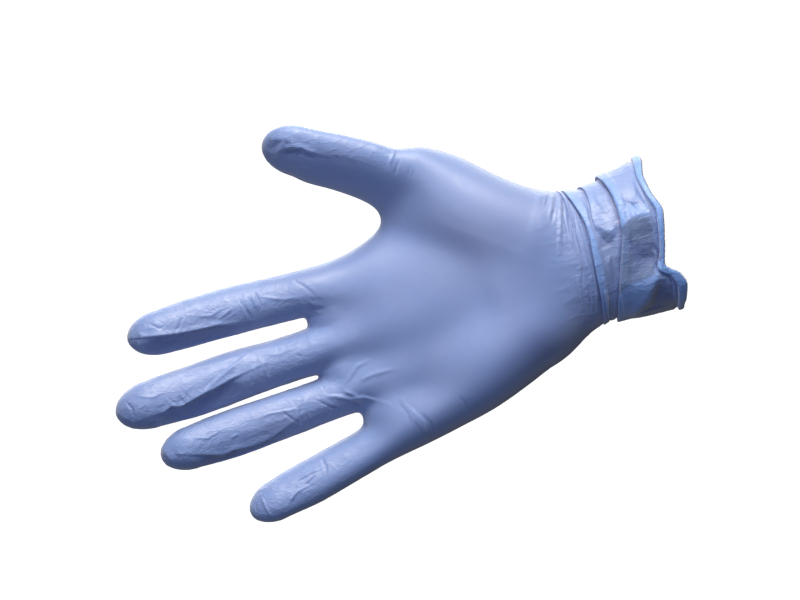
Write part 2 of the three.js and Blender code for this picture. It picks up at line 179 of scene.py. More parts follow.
@dataclass(frozen=True)
class Ray:
    """A soft rod in the XZ plane: a stall with its part of the palm, or the wrist."""

    tip: tuple[float, float]
    root: tuple[float, float]
    cap: float
    stations: tuple[tuple[float, ...], ...]
    root_cap: float = 12.0
    tilt: float = 0.0
    tilt_end: tuple[float, float] = (42.0, 78.0)

    def __post_init__(self) -> None:
        """Works out the run and the columns of the stations."""
        run = np.subtract(self.root, self.tip)
        table = np.array(self.stations, dtype=float)
        object.__setattr__(self, "run", run / np.hypot(*run))
        object.__setattr__(self, "first", table[0, 0])
        object.__setattr__(self, "last", table[-1, 0])
        for k, name in enumerate(("across", "depth", "wide", "deep"), start=1):
            object.__setattr__(self, name, Column(table[:, 0], table[:, k]))

    def distance(self, p: Array) -> Array:
        """Measures how far points lie outside the rod, near enough near its surface.

        Args:
            p: Points, one a row.

        Returns:
            Distances, negative inside.
        """
        dx, dz = p[:, 0] - self.tip[0], p[:, 2] - self.tip[1]
        s = dx * self.run[0] + dz * self.run[1]
        side = dz * self.run[0] - dx * self.run[1] - self.across(s)
        wide, deep = self.wide(s), self.deep(s)
        past = np.maximum(0, self.first - s) / self.cap + np.maximum(0, s - self.last) / self.root_cap
        rise = p[:, 1] - self.depth(s) - self.tilt * side * (1 - smoothstep(s, *self.tilt_end))
        q = np.sqrt((side / wide) ** 2 + (rise / deep) ** 2 + past**2)
        return (q - 1) * np.minimum(wide, deep)


@dataclass(frozen=True)
class Pad:
    """A rounded pad of the palm, or the web between two stalls."""

    middle: tuple[float, float, float]
    long: float
    deep: float
    wide: float
    turn: float
    least: float = 1e-6

    def distance(self, p: Array) -> Array:
        """Measures how far points lie outside the pad.

        Args:
            p: Points, one a row.

        Returns:
            Distances, negative inside.
        """
        c, s = math.cos(math.radians(self.turn)), math.sin(math.radians(self.turn))
        dx, dy, dz = (p - self.middle).T
        u, v = (dx * c + dz * s) / self.long, (dz * c - dx * s) / self.wide
        q = np.maximum(np.sqrt(u * u + v * v + (dy / self.deep) ** 2), self.least)
        return np.sqrt(dx * dx + dy * dy + dz * dz) * (1 - 1 / q)


RAYS = {
    "index": Ray((-209.5, 17.8), (-140, 16.3), 13, (
        (13, 0.0, -5.6, 8.5, 7.7), (18, 0.3, -4.9, 8.8, 7.95), (28, 0.7, -3.6, 9.1, 8.2),
        (44, 0.9, -2.0, 9.3, 8.7),
        (60, 0.6, -0.6, 9.0, 9.2), (69, 0.4, 0.0, 9.2, 10.2), (78, -0.6, 0.5, 10.2, 11.4),
        (95, -1.6, 1.0, 12.2, 12.3), (120, -3.0, 0.6, 12.0, 12.0), (150, -5.0, 0.5, 12.0, 12.5))),
    "middle": Ray((-221.6, -8.2), (-141, -5.3), 14, (
        (14, -0.35, -6.0, 9.1, 8.15), (19, -0.3, -5.3, 9.5, 8.4), (30, -0.6, -3.8, 9.8, 8.6),
        (46, -0.1, -2.0, 9.8, 9.0), (66, -0.2, 0.0, 9.0, 9.5), (78, -0.3, 0.6, 9.1, 10.6),
        (88, 0.0, 1.2, 10.0, 11.9), (100, 0.5, 1.4, 10.8, 12.6), (130, 1.0, 1.2, 11.0, 12.3),
        (165, 2.0, 1.0, 12.0, 12.5))),
    "ring": Ray((-209.5, -28.8), (-133, -24.5), 13, (
        (13, -0.1, -5.6, 8.3, 7.5), (18, -0.15, -4.9, 8.65, 7.8), (30, -0.3, -3.6, 9.1, 8.2),
        (46, -0.2, -2.0, 8.9, 8.6),
        (62, 0.0, -0.6, 8.5, 9.0), (72, 0.3, 0.4, 8.6, 10.2), (82, 1.0, 1.0, 9.1, 11.3),
        (98, 1.5, 1.2, 10.4, 12.0), (125, 2.5, 1.0, 10.8, 12.0), (155, 4.0, 0.5, 12.0, 12.5))),
    "little": Ray((-182.6, -58.2), (-131, -46.5), 12.5, (
        (12.5, -0.95, -5.1, 7.8, 7.0), (17, -1.0, -4.5, 8.1, 7.25), (26, -1.2, -3.4, 8.5, 7.6),
        (38, -1.1, -2.2, 8.4, 8.0),
        (50, -0.9, -1.4, 8.2, 8.6), (66, -0.6, -1.0, 8.6, 10.6), (84, -0.5, -1.5, 9.6, 12.0),
        (104, 1.0, -2.0, 10.4, 13.0), (128, 6.6, -1.5, 10.2, 13.2)), tilt=0.25),
    "thumb": Ray((-139.7, 75.0), (-100, 52), 14, (
        (14, 1.5, -12.7, 9.5, 8.25), (20, 1.05, -12.2, 10.1, 8.7), (30, 1.3, -11.0, 10.5, 9.4),
        (42, 1.1, -9.4, 10.8, 10.2), (50, 0.9, -8.4, 10.6, 10.8), (60, 3.0, -7.6, 11.2, 11.8),
        (74, 0.7, -6.6, 11.9, 13.4), (92, -4.7, -4.5, 13.0, 15.0), (106, -7.6, -2.5, 13.6, 15.2)), tilt=-0.6),
    "wrist": Ray((16, 1.6), (-40, -0.6), 6, (
        (6, -0.8, 0.5, 29.8, 24.0), (16, -0.5, 0.5, 29.6, 23.2), (24, -0.2, 0.5, 28.8, 22.4),
        (34, 0.3, 0.5, 27.5, 21.2), (44, -0.2, 0.5, 25.6, 20.0), (54, -0.2, 0.4, 25.8, 19.0),
        (66, 0.4, 0.2, 26.2, 18.4), (80, 0.6, 0.0, 25.6, 17.5))),
}
PADS = (
    Pad((-69, -5.5, 25), 27, 13.6, 13.6, -32),
    Pad((-76, -3.5, -23.5), 25, 13, 12.4, 14),
    Pad((-82.5, -2.5, 35.5), 16, 9.5, 16, -6),
    Pad((-131.5, 0.4, 5.6), 10, 8.6, 6.5, 0),
    Pad((-132.5, 0.2, -15.6), 10, 8.6, 6.5, 2),
    Pad((-120, -0.8, -36), 10, 8.6, 7.5, 8),
    Pad((-88, -2.0, 2), 36, 12.5, 30, -4),
)


@dataclass(frozen=True)
class GloveForm:
    """The stretched form that the film lies on: rods and pads, softly joined."""

    blend_stall: float = 0.5
    blend_palm: float = 4.5
    blend_start: float = -149.0
    blend_end: float = -108.0
    probe: float = 0.02

    def distance(self, p: Array) -> Array:
        """Measures how far points lie outside the form.

        Args:
            p: Points, one a row.

        Returns:
            Distances, negative inside.
        """
        blend = self.blend_stall + (self.blend_palm - self.blend_stall) * smoothstep(
            p[:, 0], self.blend_start, self.blend_end)
        reached = np.stack([part.distance(p) for part in (*RAYS.values(), *PADS)])
        least = reached.min(axis=0)
        return least - blend * np.log(np.exp((least - reached) / blend).sum(axis=0))

    def slope(self, p: Array) -> tuple[Array, Array]:
        """Reads the distance and its steepest rise.

        Args:
            p: Points, one a row.

        Returns:
            The distances, and the slopes, one a row.
        """
        d = self.distance(p)
        steps = np.eye(3) * self.probe
        return d, np.stack([(self.distance(p + step) - d) / self.probe for step in steps], axis=1)

    def outward(self, p: Array) -> Array:
        """Points straight out of the form at each point."""
        _, slope = self.slope(p)
        return slope / np.linalg.norm(slope, axis=1, keepdims=True)

    def lay(self, p: Array, steps: int) -> Array:
        """Moves points onto the form.

        Args:
            p: Points, one a row.
            steps: How many times each is moved.

        Returns:
            The moved points.
        """
        for _ in range(steps):
            d, slope = self.slope(p)
            p = p - slope * (d / (slope * slope).sum(axis=1))[:, None]
        return p


@dataclass(frozen=True)
class Fold:
    """A gather fold round the cuff: where it lies and how high it stands, at even steps round a full turn."""

    x: RoundCurve
    lift: RoundCurve


@dataclass(frozen=True)
class Cuff:
    """The open end of the glove: rolled hem, smooth band and gather folds, as rows from the hem inwards."""

    hem_line: Zigzag = Zigzag((
        (0, -1.4), (17, -1.2), (37, -2.9), (50, -2.5), (60, -1.8), (73, 0.6), (82, -0.4), (90, -1.4),
        (101, -2.8), (113, -4.6), (117, -4.2), (123, 0.1), (133, 2.2), (142, 1.4), (170, -0.8), (190, -0.4),
        (215, 0.6), (238, -2.6), (252, -2.2), (285, 0.4), (312, -2.4), (335, -1.8)))
    hem_sway: RoundCurve = RoundCurve((
        0.9, 0.2, -0.6, -0.2, 0.5, 0.6, -0.3, -0.8, -0.2, 0.9, 0.6, 0.1,
        0.5, 0.2, -0.5, -0.6, 0.2, 0.8, 0.3, -0.5, -0.7, 0.1, 0.6, 0.5))
    sway_reach: float = 15.0
    bead: Path = ((0, 0.5), (0.5, 0.85), (1.4, 1.0), (2.4, 0.85), (2.7, -0.7), (4.6, 0.1))
    bead_height: float = 0.75
    bead_width: RoundCurve = RoundCurve((
        1.15, 1.2, 1.0, 0.85, 0.8, 0.95, 0.8, 0.7, 1.3, 1.4, 1.2, 1.0,
        0.9, 1.0, 1.1, 0.9, 0.8, 1.0, 1.2, 1.1, 0.9, 0.8, 1.0, 1.1))
    folds: tuple[Fold, ...] = (
        Fold(RoundCurve((-18.8, -18.0, -16.8, -15.8, -15.4, -15.9, -18.0, -20.6, -22.6, -24.3, -25.5, -26.1,
                         -26.4, -26.0, -25.2, -24.2, -23.0, -21.8, -20.6, -19.8, -19.2, -19.0, -19.2, -19.2)),
             RoundCurve((1.5, 1.5, 1.5, 1.5, 1.4, 1.2, 1.1, 1.3, 1.5, 1.3, 1.1, 1.2, 1.4, 1.5, 1.4, 1.2,
                         1.5, 1.7, 1.6, 1.3, 1.1, 1.2, 1.4, 1.5))),
        Fold(RoundCurve((-27.2, -25.6, -24.9, -25.2, -26.1, -25.6, -25.2, -25.6, -26.6, -27.6, -28.6, -28.9,
                         -29.0, -28.8, -28.4, -27.6, -26.4, -25.6, -25.0, -24.6, -24.8, -25.6, -26.6, -27.2)),
             RoundCurve((0.6, 0.8, 0.8, 0.6, 0.35, 0.1, 0.0, 0.0, 0.0, 0.1, 0.2, 0.2, 0.2, 0.3, 0.6, 0.9,
                         0.8, 0.5, 0.3, 0.5, 0.8, 0.9, 0.7, 0.6))),
        Fold(RoundCurve((-34.2, -33.2, -32.0, -30.3, -28.9, -28.7, -29.3, -29.9, -30.4, -31.0, -31.6, -32.0,
                         -32.2, -32.2, -32.0, -31.2, -30.4, -29.8, -29.6, -29.8, -30.6, -31.8, -33.0, -34.0)),
             RoundCurve((0.6, 1.0, 1.3, 1.4, 1.4, 1.3, 1.3, 1.2, 1.1, 1.0, 0.8, 0.6, 0.5, 0.7, 1.0, 1.2,
                         1.0, 1.1, 1.3, 1.4, 1.2, 0.9, 0.7, 0.6))),
        Fold(RoundCurve((-36.6, -35.6, -34.6, -34.3, -34.6, -35.0, -35.3, -35.6, -35.8, -36.0, -36.2, -36.3,
                         -36.4, -36.3, -36.0, -35.4, -34.8, -34.2, -33.9, -34.2, -34.8, -35.6, -36.2, -36.7)),
             RoundCurve((0.4, 0.6, 0.7, 0.5, 0.25, 0.1, 0.0, 0.0, 0.0, 0.0, 0.0, 0.0, 0.0, 0.1, 0.3, 0.4,
                         0.6, 0.7, 0.6, 0.4, 0.3, 0.5, 0.6, 0.5))),
    )
    band_rows: tuple[float, ...] = (0.3, 0.6, 0.85)
    band_lift: float = 0.5
    lip_ahead: float = 0.3
    lip_shoulder: float = 2.4
    shoulder_lift: float = 0.8
    narrowest_band: float = 0.6
    crease_behind: float = 0.4
    crease_dip: float = 0.2
    overhang: float = 0.5
    full_overhang_lift: float = 1.2
    inner_end: float = -40.5

    @property
    def lips(self) -> list[int]:
        """The row of each fold's lip."""
        first = len(self.bead) + len(self.band_rows) + 1
        return [first + 3 * k for k in range(len(self.folds))]

    @property
    def count(self) -> int:
        """How many rows the cuff has."""
        return self.lips[-1] + 3

    def rows(self, turn: Array) -> tuple[Array, Array]:
        """Reads every row at places round the cuff.

        Args:
            turn: Places round the cuff, in degrees.

        Returns:
            The x of the rows, and how far they are lifted, one row of numbers for each row of the cuff.
        """
        hem = self.hem_line(turn)
        width = self.bead_width(turn)
        x = [hem - back * width for back, _ in self.bead]
        lift = [np.full_like(hem, share * self.bead_height) for _, share in self.bead]
        spread = self.band_rows
        for fold in self.folds:
            line, high, start = fold.x(turn), fold.lift(turn), x[-1]
            shoulder = np.minimum(line + self.lip_shoulder, line + (start - line) * self.narrowest_band)
            for share in spread:
                x.append(start + (shoulder - start) * share)
                lift.append(high * self.band_lift * share * share)
            x += [shoulder, line + self.lip_ahead, line - self.crease_behind]
            lift += [high * self.shoulder_lift, high, -self.crease_dip * high]
            spread = ()
        x.append(np.full_like(hem, self.inner_end))
        lift.append(np.zeros_like(hem))
        return np.stack(x), np.stack(lift)

    def place(self, row: Array, turn: Array) -> tuple[Array, Array]:
        """Finds the x and the lift at any place of the cuff, also between its rows.

        Args:
            row: Row numbers, counted from the hem, with parts of a row.
            turn: Places round the cuff, in degrees.

        Returns:
            The x and the lift of each place.
        """
        x, lift = self.rows(turn)
        k = np.clip(np.floor(row).astype(int), 0, self.count - 2)
        t = row - k
        here = np.arange(len(row))
        low, high = lift[k, here], lift[k + 1, here]
        at = x[k, here] + (x[k + 1, here] - x[k, here]) * t
        slope_low = (high - lift[np.maximum(k - 1, 0), here]) / 2
        slope_high = (lift[np.minimum(k + 2, self.count - 1), here] - low) / 2
        in_bead = k < len(self.bead) - 1
        eased = low + (high - low) * t * t * (3 - 2 * t)  # the same ease as smoothstep, within one row
        rise = np.where(in_bead, cubic(low, high, slope_low, slope_high, 1.0, t), eased)
        for lip in self.lips:
            over = k == lip
            reach = self.overhang * np.minimum(1.0, low / self.full_overhang_lift)
            at = np.where(over, at - reach * np.sin(2 * math.pi * t), at)
        band = (k >= len(self.bead) - 1) & (k < self.lips[0] - 1)
        return at, np.where(band, low + (high - low) * t, rise)

    def sway(self, x: Array, turn: Array) -> Array:
        """Reads how far the open edge waves in and out."""
        reach = self.hem_line(turn) - x
        return self.hem_sway(turn) * np.exp(-((reach / self.sway_reach) ** 2))


@dataclass(frozen=True)
class Line:
    """A line of places across the palm: x, z, depth, and how many quads reach the next place."""

    places: tuple[tuple[float, float, float, int], ...]

    def at(self, i: float) -> Array:
        """Finds a place of the line.

        Args:
            i: How many quads along the line it lies.

        Returns:
            Its x, z and depth.
        """
        k = 0
        while i > self.places[k][3]:
            i -= self.places[k][3]
            k += 1
        a, b = np.array(self.places[k][:3], float), np.array(self.places[k + 1][:3], float)
        return a + (b - a) * (i / self.places[k][3])


THUMB_LINE = Line(((-99, -50, -1.5, 6), (-101, -20, 0.5, 5), (-102, 10, 0.5, 5), (-102.8, 36.7, -3.0, 4),
                   (-87, 60.5, -8.0, 0)))
STALL_LINE = Line(((-127, -54.5, -1.4, 4), (-130, -36, -0.8, 4), (-142.5, -16.2, -0.4, 4),
                   (-141.3, 5.6, -0.2, 4), (-138.5, 25.6, 0, 0)))


@dataclass
class FilmGrid:
    """The net of quads that the film is made of, from the hem to the tips of the stalls."""

    form: GloveForm
    cuff: Cuff
    front: int = 20
    side: int = 4
    stall: int = 4
    palm_rows: int = 12
    split_rows: int = 7
    start_deep: float = 17.0
    web_heart: float = 6.0
    web_fan: float = 55.0
    web_reach: float = 16.0
    crossing_steps: int = 20
    stall_pitch: float = 3.7
    tip_ring: float = 0.22
    tip_dome: float = 2.0
    relax_share: float = 0.45
    points: list[Array] = field(default_factory=list)
    quads: list[tuple[int, ...]] = field(default_factory=list)
    held: set[int] = field(default_factory=set)
    rows: dict[int, tuple[float, float, float]] = field(default_factory=dict)

    def _add(self, x: float, y: float, z: float) -> int:
        """Adds a point and returns its number."""
        self.points.append(np.array((x, y, z), float))
        return len(self.points) - 1

    def _bridge(self, start: list[int], end: list[int]) -> None:
        """Joins two rings of points with quads.

        Args:
            start: The points of the first ring.
            end: The points of the second one, as many.
        """
        for i, a in enumerate(start):
            k = (i + 1) % len(start)
            self.quads.append((a, start[k], end[k], end[i]))

    def _angle(self, i: float, count: int) -> float:
        """The angle of place i on a ring, from the little side over the palm and thumb side to the back."""
        return (i + self.side / 2) / (count / 2) * math.pi

    def cuff_point(self, x: Array, angle: Array) -> Array:
        """Finds points of the wrist's own section.

        Args:
            x: Where each point lies along the glove.
            angle: Where it lies round the section, in radians.

        Returns:
            The points, one a row.
        """
        wrist = RAYS["wrist"]
        s = wrist.tip[0] - x
        middle = (wrist.tip[1] + (wrist.root[1] - wrist.tip[1]) * s / (wrist.tip[0] - wrist.root[0])
                  - wrist.across(s))
        y = wrist.depth(s) - np.sin(angle) * wrist.deep(s)
        return np.stack([x, y, middle - np.cos(angle) * wrist.wide(s)], axis=1)

    def _cuff_rings(self) -> list[list[int]]:
        """Lays the rows of the cuff.

        Returns:
            A ring of points for each row, from the hem inwards.
        """
        count = 2 * (self.front + self.side)
        angle = np.array([self._angle(i, count) for i in range(count)])
        x, _ = self.cuff.rows(HALF_TURN - np.degrees(angle))
        rings = []
        for r in range(self.cuff.count):
            ring = [self._add(*p) for p in self.cuff_point(x[r], angle)]
            for i, number in enumerate(ring):
                self.held.add(number)
                self.rows[number] = (r, math.cos(angle[i]), math.sin(angle[i]))
            rings.append(ring)
        return rings

    def _place(self, i: int, front: int) -> int:
        """Finds the place along the front that lies before or behind a place of a ring.

        Args:
            i: The place on the ring.
            front: How many quads the front has.

        Returns:
            How many quads along the front it lies.
        """
        if i <= front:
            return i
        if i < front + self.side:
            return front
        return 2 * front + self.side - i if i <= 2 * front + self.side else 0

    def _palm_ring(self, start: list[int], line: Line, share: float) -> list[int]:
        """Lays a ring between a start ring and a line across the palm.

        Args:
            start: The points of the start ring.
            line: The line across the palm.
            share: How far along the way to the line the ring lies.

        Returns:
            The points of the new ring.
        """
        front = len(start) // 2 - self.side
        ring = []
        for i, number in enumerate(start):
            x, z, depth = line.at(self._place(i, front))
            y = depth - math.sin(self._angle(i, len(start))) * self.start_deep
            p = self.points[number]
            ring.append(self._add(*(p + (np.array((x, y, z)) - p) * share)))
        return ring

    def _crossing(self, inside: Array, outside: Array) -> Array:
        """Finds where the line between two points meets the form's surface.

        Args:
            inside: A point inside the form.
            outside: A point outside it.

        Returns:
            The point on the surface.
        """
        near, far = inside.astype(float), outside.astype(float)
        for _ in range(self.crossing_steps):
            p = (near + far) / 2
            if self.form.distance(p[None])[0] < 0:
                near = p
            else:
                far = p
        return near

    def _web(self, place: tuple[float, float, float, int]) -> list[int]:
        """Adds the points over the edge of a web between two stalls.

        Args:
            place: The web's place on a line across the palm.

        Returns:
            Its three points, from the front to the back.
        """
        heart = np.array((place[0] + self.web_heart, place[2], place[1]), float)
        web = []
        for degrees in (-self.web_fan, 0, self.web_fan):
            a = math.radians(degrees)
            away = np.array((-math.cos(a), math.sin(a), 0)) * self.web_reach
            web.append(self._add(*self._crossing(heart, heart + away)))
        self.held.update(web)
        return web

    def _hold_in_valley(self, number: int) -> None:
        """Drops a point straight into the valley between two stalls.

        Args:
            number: The point.
        """
        x, y, z = self.points[number]
        outside = np.array((x, math.copysign(self.start_deep, y), z))
        self.points[number] = self._crossing(np.array((x, 0.0, z)), outside)
        self.held.add(number)

    def _add_stall(self, ray: Ray, root: list[int]) -> None:
        """Lays rings from a stall's root to its tip and closes the tip.

        Args:
            ray: The stall.
            root: The ring of points at its root.
        """
        run, tip, count = ray.run, np.array(ray.tip), len(root)
        across = np.array((-run[1], run[0]))
        middle = np.mean([self.points[number] for number in root], axis=0)
        start = float((middle[0] - tip[0]) * run[0] + (middle[2] - tip[1]) * run[1])
        end = ray.cap * self.tip_ring
        steps = round((start - end) / self.stall_pitch)
        before = root
        for k in range(1, steps + 1):
            s = np.array([start + (end - start) * k / steps])
            shrink = math.sqrt(1 - (max(0.0, ray.first - s[0]) / ray.cap) ** 2)
            centre = tip + run * s[0] + across * ray.across(s)[0]
            depth, wide, deep = (float(c(s)[0]) for c in (ray.depth, ray.wide, ray.deep))
            ring = []
            for i in range(count):
                a = self._angle(i, count)
                side = -math.cos(a) * wide * shrink
                ring.append(self._add(centre[0] + across[0] * side, depth - math.sin(a) * deep * shrink,
                                      centre[1] + across[1] * side))
            self._bridge(before, ring)
            before = ring
        self._close_tip(before, ray)

    def _close_tip(self, ring: list[int], ray: Ray) -> None:
        """Fills a ring with a square patch of quads.

        Args:
            ring: The last ring of the stall.
            ray: The stall.
        """
        n = self.stall
        net = [[-1] * (n + 1) for _ in range(n + 1)]
        for i in range(n):
            net[0][i], net[i][n] = ring[i], ring[n + i]
            net[n][n - i], net[n - i][0] = ring[2 * n + i], ring[3 * n + i]
        for r in range(1, n):
            for c in range(1, n):
                along = self.points[net[r][0]] + (self.points[net[r][n]] - self.points[net[r][0]]) * c / n
                down = self.points[net[0][c]] + (self.points[net[n][c]] - self.points[net[0][c]]) * r / n
                p = (along + down) / 2 - np.array((ray.run[0], 0, ray.run[1])) * self.tip_dome
                net[r][c] = self._add(*p)
        for r in range(n):
            for c in range(n):
                self.quads.append((net[r][c], net[r][c + 1], net[r + 1][c + 1], net[r + 1][c]))

    def lay_out(self) -> None:
        """Lays the whole net, from the hem to the stalls."""
        rings = self._cuff_rings()
        for start, end in zip(rings, rings[1:]):
            self._bridge(start, end)
        trunk = rings[-1]
        for i in range(1, self.palm_rows + 1):
            ring = self._palm_ring(rings[-1], THUMB_LINE, i / self.palm_rows)
            self._bridge(trunk, ring)
            trunk = ring
        back, split = 2 * self.front + self.side, self.front - self.stall
        thumb_web = self._web(THUMB_LINE.places[3])
        self._add_stall(RAYS["thumb"], trunk[split:back - split + 1] + thumb_web[::-1])
        palm = trunk[:split + 1] + thumb_web + trunk[back - split:]
        first = palm
        for i in range(1, self.split_rows + 1):
            ring = self._palm_ring(first, STALL_LINE, i / self.split_rows)
            self._bridge(palm, ring)
            palm = ring
        webs = [self._web(place) for place in STALL_LINE.places[1:4]]
        palm_back = 2 * split + self.side
        for j in range(self.stall, split, self.stall):
            self._hold_in_valley(palm[j])
            self._hold_in_valley(palm[palm_back - j])
        for k, name in enumerate(("little", "ring", "middle", "index")):
            a, b = k * self.stall, (k + 1) * self.stall
            upper = webs[k] if k < 3 else palm[split + 1:split + self.side]
            lower = webs[k - 1][::-1] if k > 0 else palm[palm_back + 1:]
            self._add_stall(RAYS[name], palm[a:b + 1] + upper + palm[palm_back - b:palm_back - a + 1] + lower)


@dataclass
class Skin:
    """The net as arrays, ready to be laid on the form and divided."""

    grid: FilmGrid
    points: Array
    quads: Array
    held: Array
    ring: Array

    @classmethod
    def of(cls, grid: FilmGrid) -> "Skin":
        """Takes the net over from the grid.

        Args:
            grid: The net, laid out.

        Returns:
            The skin.
        """
        points = np.array(grid.points)
        held = np.zeros(len(points), bool)
        held[list(grid.held)] = True
        ring = np.full((len(points), 3), -1.0)
        for number, values in grid.rows.items():
            ring[number] = values
        return cls(grid, points, np.array(grid.quads), held, ring)

    @property
    def in_cuff(self) -> Array:
        """Which points belong to the rows of the cuff."""
        return self.ring[:, 0] >= 0

    @property
    def turn(self) -> Array:
        """Where the points lie round the cuff, in degrees."""
        return HALF_TURN - np.degrees(np.arctan2(self.ring[:, 2], self.ring[:, 1]))

    def edges(self) -> Array:
        """Every edge once, as pairs of points."""
        return np.unique(np.sort(np.concatenate(quad_sides(self.quads)), axis=1), axis=0)

    def relax(self, passes: int) -> None:
        """Evens the spacing of the points that aren't held, and keeps them on the form.

        Args:
            passes: How many times the points move.
        """
        pairs = self.edges()
        both = np.concatenate([pairs, pairs[:, ::-1]])
        count = np.bincount(both[:, 0], minlength=len(self.points))[:, None]
        free = ~self.held
        for _ in range(passes):
            total = np.stack([np.bincount(both[:, 0], self.points[both[:, 1], k], len(self.points))
                              for k in range(3)])
            mean = total.T / count
            self.points[free] += (mean - self.points)[free] * self.grid.relax_share
            self.points[free] = self.grid.form.lay(self.points[free], 1)

    def divide(self) -> None:
        """Splits every quad into four. New points of the cuff take row and turn from their neighbours."""
        pairs = self.edges()
        n, e = len(self.points), len(pairs)
        key = pairs[:, 0] * n + pairs[:, 1]
        ends = [np.sort(side, axis=1) for side in quad_sides(self.quads)]
        middle = [n + np.searchsorted(key, p[:, 0] * n + p[:, 1]) for p in ends]
        centre = n + e + np.arange(len(self.quads))
        self.ring = np.concatenate([self.ring, self._mean_ring(pairs), self._mean_ring(self.quads)])
        self.points = np.concatenate([self.points, self.points[pairs].mean(1),
                                      self.points[self.quads].mean(1)])
        self.held = np.concatenate([self.held, np.zeros(e + len(self.quads), bool)]) | self.in_cuff
        self.quads = np.concatenate([np.stack([self.quads[:, i], middle[i], centre, middle[i - 1]], axis=1)
                                     for i in range(4)])

    def _mean_ring(self, groups: Array) -> Array:
        """Finds the row and turn halfway between points.

        Args:
            groups: The points of each group, one group a row.

        Returns:
            The row and the turn's cosine and sine, or -1 where a point isn't of the cuff.
        """
        inside = np.all(self.in_cuff[groups], axis=1)
        mean = self.ring[groups].mean(axis=1)
        size = np.hypot(mean[:, 1], mean[:, 2])
        mean[:, 1:] /= np.where(size > 0, size, 1)[:, None]
        mean[~inside] = -1.0
        return mean

    def lay_cuff(self) -> Array:
        """Puts the cuff's points in their rows on the form.

        Returns:
            How far each point of the skin is then lifted off the form.
        """
        lift = np.zeros(len(self.points))
        c = self.in_cuff
        angle = np.arctan2(self.ring[c, 2], self.ring[c, 1])
        turn, cuff = self.turn[c], self.grid.cuff
        x, rise = cuff.place(self.ring[c, 0], turn)
        self.points[c] = self.grid.form.lay(self.grid.cuff_point(x, angle), 1)
        lift[c] = rise + cuff.sway(x, turn)
        return lift


class Side(Enum):
    """Which face of the glove a crease is pressed into."""

    PALM = -1.0
    BACK = 1.0


class Shape(Enum):
    """How a crease stands in section."""

    RIDGE = "a soft crest"
    GROOVE = "a soft valley"
    TUCK = "a crest with a sharp valley on its lower flank"
    STEP = "a flat that drops at the line"


@dataclass(frozen=True)
class Section:
    """How creases look in section, as shares of a crease's width and height."""

    fade_in: float = 0.3
    fade_out: float = 0.7
    end_height: float = 0.25
    end_width: float = 0.6
    reach: float = 8.0
    groove_depth: float = 1.2
    groove_shoulder: float = 0.35
    shoulder_width: float = 2.2
    tuck_offset: float = 0.9
    tuck_width: float = 0.55
    tuck_depth: float = 0.7
    tuck_slope: float = 2.4
    tuck_reach: float = 3.0
    step_slope: float = 3.5
    step_reach: float = 6.0


def bell(x: Array, width: float = 1.0) -> Array:
    """Falls off softly on both sides of 0, from 1 to nothing."""
    return np.exp(-((x / width) ** 2))


@dataclass(frozen=True)
class Crease:
    """One crease of the film, drawn in x and z on one face of the glove."""

    shape: Shape
    width: float
    height: float
    line: Path
    side: Side = Side.PALM
    fall: float = 0.0
    fall_depth: float = 0.15
    section: Section = Section()

    @property
    def reach(self) -> float:
        """How far from its line the crease moves the film."""
        return max(self.width * self.section.reach, self.fall + 1)

    def height_at(self, p: Array) -> Array:
        """Works out how far the crease lifts the film.

        Args:
            p: The x and z of the points, one a row.

        Returns:
            The lift of each point, in millimetres.
        """
        best, off, share = self._nearest(p)
        cut, width = self.section, self.width
        fade = ramp(share, 0.0, cut.fade_in, cut.fade_out, 1.0)
        q = best / (width * (cut.end_width + (1 - cut.end_width) * fade))
        crest = bell(q)
        if self.shape is Shape.GROOVE:
            profile = cut.groove_shoulder * bell(q, cut.shoulder_width) - cut.groove_depth * crest
        elif self.shape is Shape.TUCK:
            lower = bell(off + width * cut.tuck_offset, cut.tuck_width * width) * bell(q, cut.tuck_reach)
            upper = bell(np.maximum(off, 0), cut.tuck_slope * width)
            profile = np.where(off > 0, upper, crest) - cut.tuck_depth * lower
        elif self.shape is Shape.STEP:
            flat = bell(np.maximum(off, 0), cut.step_slope * width)
            profile = np.where(off > 0, flat, crest) * bell(q, cut.step_reach)
        else:
            profile = crest
        spanned = np.clip(-off / max(self.fall, 1.0), 0.0, 1.0)
        drop = self.fall * self.fall_depth * 4 * spanned * (1 - spanned) * fade
        return self.height * profile * (cut.end_height + (1 - cut.end_height) * fade) - drop

    def _nearest(self, p: Array) -> tuple[Array, Array, Array]:
        """Finds where points lie from the crease's line.

        Args:
            p: The x and z of the points, one a row.

        Returns:
            Their distances from the line, how far they lie to one side of it, and how far along it,
            as a share.
        """
        line = np.array(self.line, float)
        runs = np.linalg.norm(np.diff(line, axis=0), axis=1)
        total, done = runs.sum(), 0.0
        best = np.full(len(p), np.inf)
        off, share = np.zeros(len(p)), np.zeros(len(p))
        for a, b, run in zip(line, line[1:], runs):
            along = (b - a) / run
            t = np.clip((p - a) @ along, 0, run)
            gap = p - a - t[:, None] * along
            d = np.hypot(gap[:, 0], gap[:, 1])
            near = d < best
            best = np.where(near, d, best)
            off = np.where(near, along[0] * gap[:, 1] - along[1] * gap[:, 0], off)
            share = np.where(near, (done + t) / total, share)
            done += run
        return best, off, share


